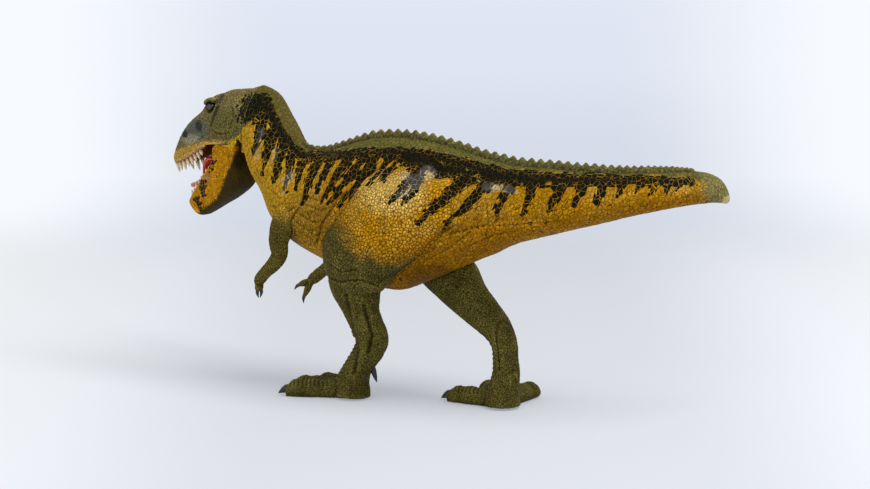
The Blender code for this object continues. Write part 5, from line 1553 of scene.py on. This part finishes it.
def add_layer(data, name, values):
    """Keep colours, places or single values on a mesh's points."""
    values = np.asarray(values, float)
    kind, field = "FLOAT", "value"
    if name.endswith("paint"):
        kind, field = "FLOAT_COLOR", "color"
        values = np.column_stack([values, np.ones(len(values))])
    elif name == "skin_place":
        kind, field = "FLOAT_VECTOR", "vector"
    data.attributes.new(name, kind, "POINT").data.foreach_set(field, values.ravel())


def piece_mesh(name, points, quads, normals, layers):
    """A mesh of some of a skin's faces, with its paint and the whole skin's smooth normals."""
    used, corners = np.unique(quads, return_inverse=True)
    data = bpy.data.meshes.new(name)
    data.vertices.add(len(used))
    data.vertices.foreach_set("co", points[used].ravel())
    data.loops.add(quads.size)
    data.loops.foreach_set("vertex_index", corners.ravel())
    data.polygons.add(len(quads))
    data.polygons.foreach_set("loop_start", np.arange(0, quads.size, 4))
    data.update(calc_edges=True)
    data.validate()
    for layer, values in layers.items():
        add_layer(data, layer, values[used])
    data.shade_smooth()
    data.normals_split_custom_set_from_vertices(normals[used].tolist())
    return placed(name, data)


def painted(piece, colours):
    """A smooth piece with colours for its points, or with one for all of them."""
    piece.data.shade_smooth()
    add_layer(piece.data, "paint", np.broadcast_to(colours, (len(piece.data.vertices), 3)))
    return piece


def dressed(piece, body, paint, slot, *nodes):
    """Move a piece into the row frame, paint it, and hang it on its body in place of its nodes."""
    piece.data.transform(SHIFT)
    piece.data.materials.clear()
    piece.data.materials.append(paint)
    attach(piece, body)
    if nodes:
        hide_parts(*nodes)


class Net:
    """A node tree, with short ways to add nodes, to set their inputs and to join them."""

    def __init__(self, tree):
        self.nodes = tree.nodes
        self.links = tree.links

    def feed(self, socket, value):
        """Join an input to an output, or set its value."""
        if isinstance(value, bpy.types.NodeSocket):
            self.links.new(value, socket)
        elif isinstance(value, tuple):
            socket.default_value = (*value, 1)
        else:
            socket.default_value = value

    def add(self, kind, inputs, **settings):
        node = self.nodes.new(kind)
        for name, value in settings.items():
            setattr(node, name, value)
        for key, value in inputs.items():
            self.feed(node.inputs[key], value)
        return node

    def read(self, layer, output="Fac"):
        return self.add("ShaderNodeAttribute", {}, attribute_name=layer).outputs[output]

    def place(self):
        return self.add("ShaderNodeTexCoord", {}).outputs["Object"]

    def scales(self, place, scale, feature="F1"):
        """The texture of the skin's scales: their colours, or the distance to their borders."""
        inputs = {"Vector": place, "Scale": scale, "Randomness": SCALE_RANDOMNESS}
        return self.add("ShaderNodeTexVoronoi", inputs, feature=feature)

    def noise(self, place, scale, detail, roughness=0.5):
        inputs = {"Vector": place, "Scale": scale, "Detail": detail, "Roughness": roughness}
        return self.add("ShaderNodeTexNoise", inputs).outputs["Fac"]

    def ramp(self, source, low, high, to_low=0.0, to_high=1.0):
        inputs = {"Value": source, "From Min": low, "From Max": high, "To Min": to_low, "To Max": to_high}
        return self.add("ShaderNodeMapRange", inputs, interpolation_type="SMOOTHSTEP").outputs["Result"]

    def math(self, operation, first, second):
        return self.add("ShaderNodeMath", {0: first, 1: second}, operation=operation).outputs[0]

    def times(self, first, second):
        return self.math("MULTIPLY", first, second)

    def plus(self, first, second):
        return self.math("ADD", first, second)

    def along(self, place, way):
        """How far a place lies along a direction."""
        inputs = {0: place, 1: way}
        return self.add("ShaderNodeVectorMath", inputs, operation="DOT_PRODUCT").outputs["Value"]

    def mix(self, share, first, second, blend="MIX"):
        inputs = {0: share, 6: first, 7: second}
        return self.add("ShaderNodeMix", inputs, data_type="RGBA", blend_type=blend).outputs[2]

    def shaded(self, colour, source, low, high, to_low, to_high):
        """A colour made darker and lighter by a texture."""
        return self.mix(1.0, colour, self.ramp(source, low, high, to_low, to_high), "MULTIPLY")

    def chance(self, cells):
        """One number for each scale, from its random colour."""
        return self.add("ShaderNodeSeparateColor", {0: cells.outputs["Color"]}).outputs[0]

    def bump(self, shader, height, strength, distance):
        inputs = {"Strength": strength, "Distance": distance, "Height": height}
        self.feed(shader.inputs["Normal"], self.add("ShaderNodeBump", inputs).outputs[0])

    def seen(self):
        """One for rays that show the background itself or its reflection, zero for those that light things."""
        rays = self.nodes.new("ShaderNodeLightPath").outputs
        seen = self.math("MAXIMUM", rays["Is Camera Ray"], rays["Is Glossy Ray"])
        return self.math("MAXIMUM", seen, rays["Is Transmission Ray"])

    def blend_shaders(self, share, first, second, output):
        mix = self.add("ShaderNodeMixShader", {0: share, 1: first.outputs[0], 2: second.outputs[0]})
        self.feed(self.nodes[output].inputs["Surface"], mix.outputs[0])


def new_material(name):
    made = bpy.data.materials.new(name)
    made.use_nodes = True
    return made, Net(made.node_tree), made.node_tree.nodes["Principled BSDF"]


def skin_material():
    """Painted hard rubber: scales with washed lines, jagged stripes made of whole scales, and a pebbled bump."""
    made, net, shader = new_material("painted skin")
    place = net.read("skin_place", "Vector")
    dark_paint = net.read("dark_paint", "Color")
    dark = net.read("dark")
    line_strength = net.read("lines")
    edge = net.scales(place, BROAD_SCALE, "DISTANCE_TO_EDGE").outputs["Distance"]
    fine_edge = net.scales(place, FINE_SCALE, "DISTANCE_TO_EDGE").outputs["Distance"]
    grain = net.noise(place, GRAIN_SCALE, 3.0)
    mottle = net.noise(place, MOTTLE_SCALE, 4.0, 0.6)

    # Washed lines between the scales, finer where the line strength is high and none under a stripe
    fine_line = net.times(net.ramp(fine_edge, 0.012, 0.095, 1.0, 0.0), line_strength)
    broad_strength = net.ramp(line_strength, 0.2, 0.9, 0.45, 0.0)
    broad_line = net.times(net.ramp(edge, 0.01, 0.09, 1.0, 0.0), broad_strength)
    line = net.times(net.math("MAXIMUM", fine_line, broad_line), net.ramp(mottle, 0.35, 0.60, 0.45, 1.0))
    line = net.times(line, net.ramp(dark, 0.30, 0.70, 1.0, 0.0))

    # The paint under them, a little different on every scale
    spread = net.ramp(line_strength, 0.2, 1.2, 0.12, 0.42)
    chance = net.chance(net.scales(place, FINE_SCALE))
    shade = net.plus(net.times(net.math("SUBTRACT", chance, 0.42), spread), 1.0)
    paint = net.mix(1.0, net.read("paint", "Color"), shade, "MULTIPLY")
    paint = net.shaded(paint, grain, 0.25, 0.75, 0.80, 1.20)
    paint = net.shaded(paint, mottle, 0.30, 0.70, 0.80, 1.20)
    paint = net.mix(line, paint, LINE_WASH)

    # Whole scales go dark by chance at a stripe's border, and its middle is dark all over
    jitter = net.math("SUBTRACT", net.chance(net.scales(place, BROAD_SCALE)), 0.5)
    whole = net.ramp(net.plus(dark, jitter), 0.47, 0.53)
    is_dark = net.times(net.times(whole, net.ramp(edge, 0.006, 0.040)), net.ramp(dark, 0.02, 0.06))
    paint = net.mix(net.ramp(dark, 1.3, 2.7, 0.0, 0.85), paint, dark_paint)
    net.feed(shader.inputs["Base Color"], net.mix(is_dark, paint, dark_paint))

    net.feed(shader.inputs["Roughness"], net.ramp(grain, 0.2, 0.8, 0.42, 0.62))
    net.feed(shader.inputs["Specular IOR Level"], 0.03)
    height = net.plus(net.ramp(edge, 0.0, 0.16), net.ramp(fine_edge, 0.0, 0.30))
    net.bump(shader, net.plus(height, net.times(grain, 0.4)), strength=0.75, distance=0.00016)
    return made


def painted_material(name, roughness, grain_scale, bump_height, coat=0.0):
    """Smooth moulded plastic whose colour comes from its paint attribute, with fine mottling and a grain."""
    made, net, shader = new_material(name)
    mottle = net.noise(net.place(), grain_scale, 4.0)
    colour = net.shaded(net.read("paint", "Color"), mottle, 0.3, 0.7, 0.82, 1.15)
    net.feed(shader.inputs["Base Color"], colour)
    net.feed(shader.inputs["Roughness"], net.ramp(mottle, 0.25, 0.75, roughness * 0.8, roughness * 1.25))
    net.feed(shader.inputs["Coat Weight"], coat)
    net.bump(shader, mottle, 0.5, bump_height)
    return made


def steel_material():
    made, net, shader = new_material("pin steel")
    streaks = net.noise(net.place(), 900.0, 3.0)
    net.feed(shader.inputs["Metallic"], 1.0)
    net.feed(shader.inputs["Roughness"], net.ramp(streaks, 0.3, 0.7, 0.22, 0.42))
    net.feed(shader.inputs["Base Color"], net.mix(streaks, STEEL_DARK, STEEL_LIGHT))
    return made


def cavity(points, normals, edges, rounds):
    """Above zero in hollows and below zero on ridges, in metres."""
    return np.sum((smoothed(points, edges, rounds) - points) * normals, axis=1)


def is_limb(label):
    return np.char.endswith(label, "_leg") | np.char.endswith(label, "_arm")


def eased_joins(points, edges, label):
    """The skin with soft fillets where limbs leave the trunk, and soft ankles."""
    limb = is_limb(label)
    seam = limb[edges[:, 0]] != limb[edges[:, 1]]
    near = np.zeros((len(points), 1))
    near[edges[seam].ravel()] = 1
    for _ in range(EASE_ROUNDS):
        near = np.maximum(near, 0.5 * near + 0.5 * around(near, edges))
    ankle = smooth_step(points[:, 2], *ANKLE_START) * smooth_step(-points[:, 2], *ANKLE_END)
    share = np.maximum(np.clip(1.5 * near[:, 0], 0, 1), np.char.endswith(label, "_leg") * ankle)
    return points + (smoothed(points, edges, CALM_ROUNDS) - points) * share[:, None]


def figure_solids():
    """The figure's overlapping solids, the piece that each one belongs to, and the rings of the claws."""
    body = solid("body", smooth_rings(body_ring, len(STATIONS)))
    sources = [body, solid("crest", crest_rings()), skull()]
    names = ["body", "crest", "head"]
    claws = {}
    for group, make_parts in ((LEGS, leg_parts), (ARMS, arm_parts)):
        for name, rows, side in group:
            skins, claws[name] = make_parts(rows, side)
            sources += [solid(name, rings) for rings in skins]
            names += [name] * len(skins)
    return sources, np.array(names), claws


def dimple(local, spot):
    """One in the middle of an oval spot on the side of the head, falling away smoothly."""
    ahead, up, length, height = spot
    reach = np.hypot((local[:, 0] / HEAD_LENGTH - ahead) / length, (local[:, 2] / HEAD_HEIGHT - up) / height)
    return hump(reach, 1)


def head_lift(places, local):
    """Brow, eye socket, nostril, lips and folds of the head, in millimetres."""
    side = np.abs(local[:, 1])
    outer = smooth_step(side, 0.15 * HEAD_WIDTH, 0.25 * HEAD_WIDTH)
    outer_or_front = smooth_step(side, 0.05 * HEAD_WIDTH, 0.10 * HEAD_WIDTH)
    away = np.hypot(local[:, 0] - EYE_AHEAD, (local[:, 2] - EYE_UP) * 0.8)
    lift = 0.35 * outer * hump(away - 1.35 * EYE_RADIUS, 0.30 * EYE_RADIUS)
    lift -= 1.3 * outer * hump(away, 0.95 * EYE_RADIUS)
    lift -= 0.55 * outer_or_front * dimple(local, NOSTRIL)
    lift -= 0.60 * outer * dimple(local, SNOUT_OPENING)
    for depth in reliefs(places, HEAD_CREASES):
        lift -= depth
    return lift


def figure_lift(points, normals, label, places, pattern):
    """Relief of the figure's skin but for the head's own features, in millimetres."""
    head = label == "head"
    lift = sum(height * rough_noise(points, size, seed) for height, size, seed in SKIN_UNEVENNESS)
    folded = ~np.isin(label, ("left_arm", "right_arm", "crest", "head"))
    swells, creases = (np.max([*reliefs(places, strokes)], axis=0) for strokes in (SWELLS, CREASES))
    lift += folded * (swells - creases)
    lift -= foot_scutes(points, normals, label)
    broad = hump(scale_edges(pattern, BROAD_SCALE), BROAD_GROOVE)
    fine = hump(scale_edges(pattern, FINE_SCALE), FINE_GROOVE)
    trunk = np.where(head | (label == "crest"), HEAD_GROOVE_DEPTH * fine, TRUNK_GROOVE_DEPTH * broad)
    return lift - np.where(is_limb(label), LIMB_GROOVE_DEPTH * fine, trunk)


def skin_layers(colours, dark_colours, pattern, dark, lines):
    return {"paint": colours, "dark_paint": dark_colours, "skin_place": pattern, "dark": dark, "lines": lines}


def hollow_share(points, facing, edges, rounds, depth):
    """How deep each point lies in a hollow, as a share of a depth in millimetres; below zero on ridges."""
    return cavity(points, facing, edges, rounds) / (depth * MILLIMETRE)


def figure_layers(points, normals, edges, quads, label, places, pattern, twins, local):
    """Paint of the figure's skin: its colours, with a dark wash and painted shade in hollows, dry-brushed paint
    and a painted highlight on ridges, and painted light and shade on the limbs.
    """
    head = label == "head"
    limb = is_limb(label)
    facing = normals_of(smoothed(points, edges, 1), quads)
    colours, dark, lines, rub_and_sheen = trunk_paint(places, normals, label, twins)
    colours[head], dark[head], lines[head] = head_paint(places[head], local, twins[head])
    # A dark wash with painted shade in hollows, and dry-brushed paint with a painted highlight on ridges
    hollow = hollow_share(points, facing, edges, CAVITY_ROUNDS, HOLLOW_DEPTH)
    wash_and_shade = np.clip(hollow, 0, 1)
    drybrush_and_highlight = np.clip(-hollow, 0, 1)
    deep = hollow_share(points, facing, edges, 5 * CAVITY_ROUNDS, DEEP_HOLLOW_DEPTH)
    # Painted light and shade on the lower limbs: paler on the sides that face one way, darker in deep hollows
    painted_light_and_shade = limb * (0.22 * (normals @ PAINTED_LIGHT_SIDE) - 0.35 * np.clip(deep, -0.8, 1))
    painted_light_and_shade = painted_light_and_shade * smooth_step(places[:, 1], 240, 275)
    colours = colours * (1 + painted_light_and_shade)[:, None]
    colours = colours * (1 - 0.70 * wash_and_shade)[:, None] * (1 + np.where(limb | head, 0.60, 0.20) * drybrush_and_highlight)[:, None]
    # the dark cells take the rubbed paint with its painted sheen, a little paler on ridges as a painted highlight
    dark_colours = coated(DARK_CELL, len(points), [(DARK_RUB_AND_SHEEN, 0.8 * rub_and_sheen + 0.10 * drybrush_and_highlight)])
    return skin_layers(colours, dark_colours, pattern, dark, lines)


def figure_parts(points, quads, face_label, right):
    """The faces of each piece that the figure's skin is parted into."""
    is_body = np.isin(face_label, ("body", "crest"))
    tail = is_body & (points[quads, 0].mean(axis=1) > SEAM_X)
    mean_right = right[quads].mean(axis=1)
    parts = {
        "tail": tail,
        "torso_left_half": is_body & ~tail & (mean_right <= 0),
        "torso_right_half": is_body & ~tail & (mean_right > 0),
    }
    for name in ("head", "left_leg", "right_leg", "left_arm", "right_arm"):
        parts[name] = face_label == name
    return parts


def main_skin(paint):
    """The figure's one outer skin, parted into the pieces that the part is glued up from."""
    sources, names, claws = figure_solids()
    points, edges, quads = fused("skin", sources, VOXEL)
    points[:, 2] = np.maximum(points[:, 2], 0)
    face_label = names[nearest_faces(sources, points[quads].mean(axis=1))[:, 0]]
    label = np.empty(len(points), face_label.dtype)
    label[quads.ravel()] = np.repeat(face_label, 4)
    rows = np.minimum(nearest_faces(sources[:1], points)[:, 1] // BODY_SIDES, LAST_STATION * STEPS)
    for source in sources:
        bpy.data.objects.remove(source)

    points = eased_joins(points, edges, label)
    head = label == "head"
    twins, right = mirrored_in_body(points, rows)
    twins[head], local = mirrored_in(HEAD, points[head])
    places = photo_places(twins)
    pattern = skin_places(points, label)
    normals = normals_of(points, quads)
    lift = figure_lift(points, normals, label, places, pattern)
    lift[head] += head_lift(places[head], local)
    points = points + normals * (lift * MILLIMETRE)[:, None]
    points[:, 2] = np.maximum(points[:, 2], 0)
    normals = normals_of(points, quads)
    layers = figure_layers(points, normals, edges, quads, label, places, pattern, twins, local)
    for name, mine in figure_parts(points, quads, face_label, right).items():
        piece = piece_mesh(f"{name}_skin", points, quads[mine], normals, layers)
        slot = "body_plastic" if name.startswith(("torso", "tail")) else "olive_plastic"
        dressed(piece, "figure", paint, slot, name)
    return claws


def jaw_skin(paint):
    """The lower jaw's skin, with its own relief and paint."""
    shell = jaw_shell()
    points, edges, quads = fused("jaw", [shell], JAW_VOXEL)
    bpy.data.objects.remove(shell)
    turn = np.array(JAW.to_3x3())
    normals = normals_of(points, quads)
    twins, local = mirrored_in(JAW, points)
    places = photo_places(twins)
    pattern = points * JAW_FINENESS
    lift = 0.07 * rough_noise(points, 0.005, 5) - 0.05 * hump(scale_edges(pattern, BROAD_SCALE), BROAD_GROOVE)
    lift *= smooth_step(local[:, 0], JAW_EAR_RADIUS, 2 * JAW_EAR_RADIUS)
    lift -= THROAT_ROOM * smooth_step(-(normals @ turn)[:, 0], 0.1, 0.5)
    points = points + normals * (lift * MILLIMETRE)[:, None]
    normals = normals_of(points, quads)
    colours, dark, lines = jaw_paint(places, local, normals @ turn, twins)
    # A dark wash with painted shade in the jaw's hollows
    wash_and_shade = np.clip(hollow_share(points, normals, edges, CAVITY_ROUNDS, HOLLOW_DEPTH), 0, 1)
    dark_colours = coated(DARK_CELL, len(points), [])
    layers = skin_layers(colours * (1 - 0.6 * wash_and_shade)[:, None], dark_colours, pattern, dark, lines)
    piece = piece_mesh("lower_jaw_skin", points, quads, normals, layers)
    dressed(piece, "jaw", paint, "body_plastic", "lower_jaw")


def place_claws(claws):
    horn = painted_material("claw paint", roughness=0.42, grain_scale=500.0, bump_height=0.00008)
    for name, ring_sets in claws.items():
        dressed(painted(solid(f"{name}_claws", *ring_sets), CLAW_BLACK), "figure", horn, "olive_plastic")


def place_teeth():
    enamel = painted_material("tooth paint", roughness=0.28, grain_scale=900.0, bump_height=0.00004, coat=0.2)
    upper = arcade(SKULL_SHARES, upper_lip, UPPER_TOOTH_INSET, *UPPER_ROW_STATIONS)
    lower = arcade(JAW_SHARES, lower_lip, LOWER_ROW_INSET, *LOWER_ROW_STATIONS)
    rows = (
        ("upper", HEAD, upper, UPPER_TOOTH_PITCH, UPPER_TOOTH_LENGTH, UPPER_BACK_TOOTH_SHARE, 1, "figure"),
        ("lower", JAW, lower, LOWER_TOOTH_PITCH, LOWER_TOOTH_LENGTH, LOWER_BACK_TOOTH_SHARE, -1, "jaw"),
    )
    for name, place, path, pitch, length, end_share, rise, body in rows:
        piece = solid(f"{name}_teeth_row", *tooth_row(place, path, pitch, length, end_share, rise))
        local = np.array([place.inverted() @ vertex.co for vertex in piece.data.vertices])
        heights = {round(point.x, 6): point.z for point in path}
        out = (np.interp(local[:, 0], *zip(*sorted(heights.items()))) - local[:, 2]) * rise
        coats = (
            (TOOTH_ROOT, smooth_step(out, -0.0001, 0.0003)),
            (TOOTH_IVORY, smooth_step(out, 0.0004, 0.0018)),
        )
        dressed(painted(piece, coated(GUM_RED, len(out), coats)), body, enamel, "tooth_plastic", f"{name}_teeth")


def place_tongue():
    flesh = painted_material("tongue paint", roughness=0.30, grain_scale=1400.0, bump_height=0.00008, coat=0.3)
    tongue = painted(solid("tongue_skin", smooth_rings(tongue_ring, len(TONGUE_SHARES))), TONGUE_RED)
    dressed(tongue, "jaw", flesh, "tongue_plastic", "tongue")


def place_eyes():
    glass = painted_material("eye paint", roughness=0.36, grain_scale=1500.0, bump_height=0.00001)
    for name, sign in (("left", LEFT), ("right", RIGHT)):
        centre = Vector((EYE_AHEAD, -sign * (EYE_OUT_SHARE * HEAD_WIDTH - EYE_SINK), EYE_UP))
        radii = [share * EYE_RADIUS for share in EYE_RADIUS_SHARES]
        eye = lump(f"{name}_eye", HEAD, centre, radii, EYE_SIDES)
        local = np.array([HEAD.inverted() @ vertex.co for vertex in eye.data.vertices]) - np.array(centre)
        away = np.linalg.norm(local[:, (0, 2)], axis=1) / EYE_RADIUS
        coats = (
            (EYE_AMBER, 1 - smooth_step(away, 0.55, 0.72)),
            (EYE_DARK, 1 - smooth_step(away, 0.24, 0.34)),
        )
        dressed(painted(eye, coated(EYE_DARK, len(away), coats)), "figure", glass, "olive_plastic")


def place_pieces():
    """Every visible piece; the jaw pin stays the frame's own and only gets its steel."""
    paint = skin_material()
    claws = main_skin(paint)
    jaw_skin(paint)
    place_claws(claws)
    place_teeth()
    place_tongue()
    place_eyes()
    pin = frame["nodes"]["jaw_pin"]
    pin.data.materials.clear()
    pin.data.materials.append(steel_material())


def backdrop_sheet():
    """A floor that curves up into the wall behind the figure, square to the camera."""
    line = [(-FLOOR_FRONT, 0.0)]
    for k in range(BEND_STEPS + 1):
        angle = TAU / 4 * k / BEND_STEPS
        line.append((FLOOR_BACK + BEND_RADIUS * math.sin(angle), BEND_RADIUS * (1 - math.cos(angle))))
    line.append((FLOOR_BACK + BEND_RADIUS, WALL_HEIGHT))
    points = []
    for reach, height in line:
        for sign in (-1, 1):
            points.append(tuple(AWAY * reach + ACROSS * sign * FLOOR_HALF_WIDTH + UP * height))
    faces = [(2 * k, 2 * k + 1, 2 * k + 3, 2 * k + 2) for k in range(len(line) - 1)]
    data = bpy.data.meshes.new("backdrop")
    data.from_pydata(points, [], faces)
    data.shade_smooth()
    return placed("backdrop", data)


def paper_material():
    """Pale paper with painted light: brighter and a little bluer up the wall, and painted brighter rims on both
    sides.
    """
    made, net, shader = new_material("backdrop paper")
    net.feed(shader.inputs["Roughness"], 0.9)
    net.feed(shader.inputs["Specular IOR Level"], 0.1)
    place = net.place()
    height = net.add("ShaderNodeSeparateXYZ", {0: place}).outputs[2]
    depth = net.along(place, AWAY)
    farther = net.ramp(depth, 0.55, FLOOR_BACK, 0.0, 0.45)
    # painted light: the wall brighter and bluer higher up and farther back
    toned = net.mix(net.plus(net.ramp(height, 0.0, 0.55), farther), WALL_LOW, WALL_HIGH)
    spread = net.math("ABSOLUTE", net.plus(net.along(place, ACROSS), RIM_SHIFT), 0.0)
    widening = net.math("DIVIDE", net.plus(depth, WIDENING_START), WIDENING_START + WIDENING_DEPTH)
    spread = net.math("DIVIDE", spread, net.math("MAXIMUM", widening, 1.0))
    # painted light: brighter rims on both sides of the floor and the wall
    floor_colour = net.mix(net.ramp(spread, 0.08, 0.20), FLOOR_COLOUR, FLOOR_RIM_LIGHT)
    net.feed(shader.inputs["Base Color"], floor_colour)
    glow = net.add("ShaderNodeEmission", {"Color": net.mix(net.ramp(spread, 0.14, 0.36), toned, WALL_RIM_LIGHT)})
    floor_share = net.ramp(net.ramp(depth, 0.25, 0.75), 0.0, 1.0, FLOOR_GLOW_SHARE, 1.0)
    net.blend_shaders(net.times(net.seen(), floor_share), shader, glow, "Material Output")
    return made


def backdrop():
    sheet = backdrop_sheet()
    sheet.data.materials.append(paper_material())


def lamp(name, offset, size, power, colour=(1, 1, 1)):
    """A square lamp beside the figure: right of the camera's aim, towards the camera and up from it."""
    data = bpy.data.lights.new(name, "AREA")
    data.size = size
    data.energy = power
    data.color = colour
    made = placed(name, data)
    aim = SHIFT @ CAMERA_TARGET
    right, toward, up = offset
    made.location = aim - ACROSS * right - AWAY * toward + UP * up
    made.rotation_euler = (made.location - aim).to_track_quat("Z", "Y").to_euler()


def lights():
    """A warm, even sky that lights but isn't seen, and two square lamps."""
    world = bpy.data.worlds.new("studio")
    world.use_nodes = True
    net = Net(world.node_tree)
    light = net.nodes["Background"]
    net.feed(light.inputs["Color"], WORLD_COLOUR)
    net.feed(light.inputs["Strength"], WORLD_STRENGTH)
    sky = net.add("ShaderNodeBackground", {"Color": SKY_COLOUR})
    net.blend_shaders(net.seen(), light, sky, "World Output")
    bpy.context.scene.world = world
    lamp("key", KEY_OFFSET, KEY_SIZE, KEY_POWER, KEY_COLOUR)
    lamp("fill", FILL_OFFSET, FILL_SIZE, FILL_POWER)


def camera():
    data = bpy.data.cameras.new("camera")
    data.sensor_width = SENSOR_WIDTH
    data.lens = FOCAL_PIXELS * SENSOR_WIDTH / PHOTO_WIDTH
    made = placed("camera", data)
    made.location = SHIFT @ CAMERA_PLACE
    made.rotation_euler = LOOK.to_euler()
    bpy.context.scene.camera = made


bpy.context.scene.view_settings.view_transform = "Standard"
camera()
lights()
backdrop()
place_pieces()
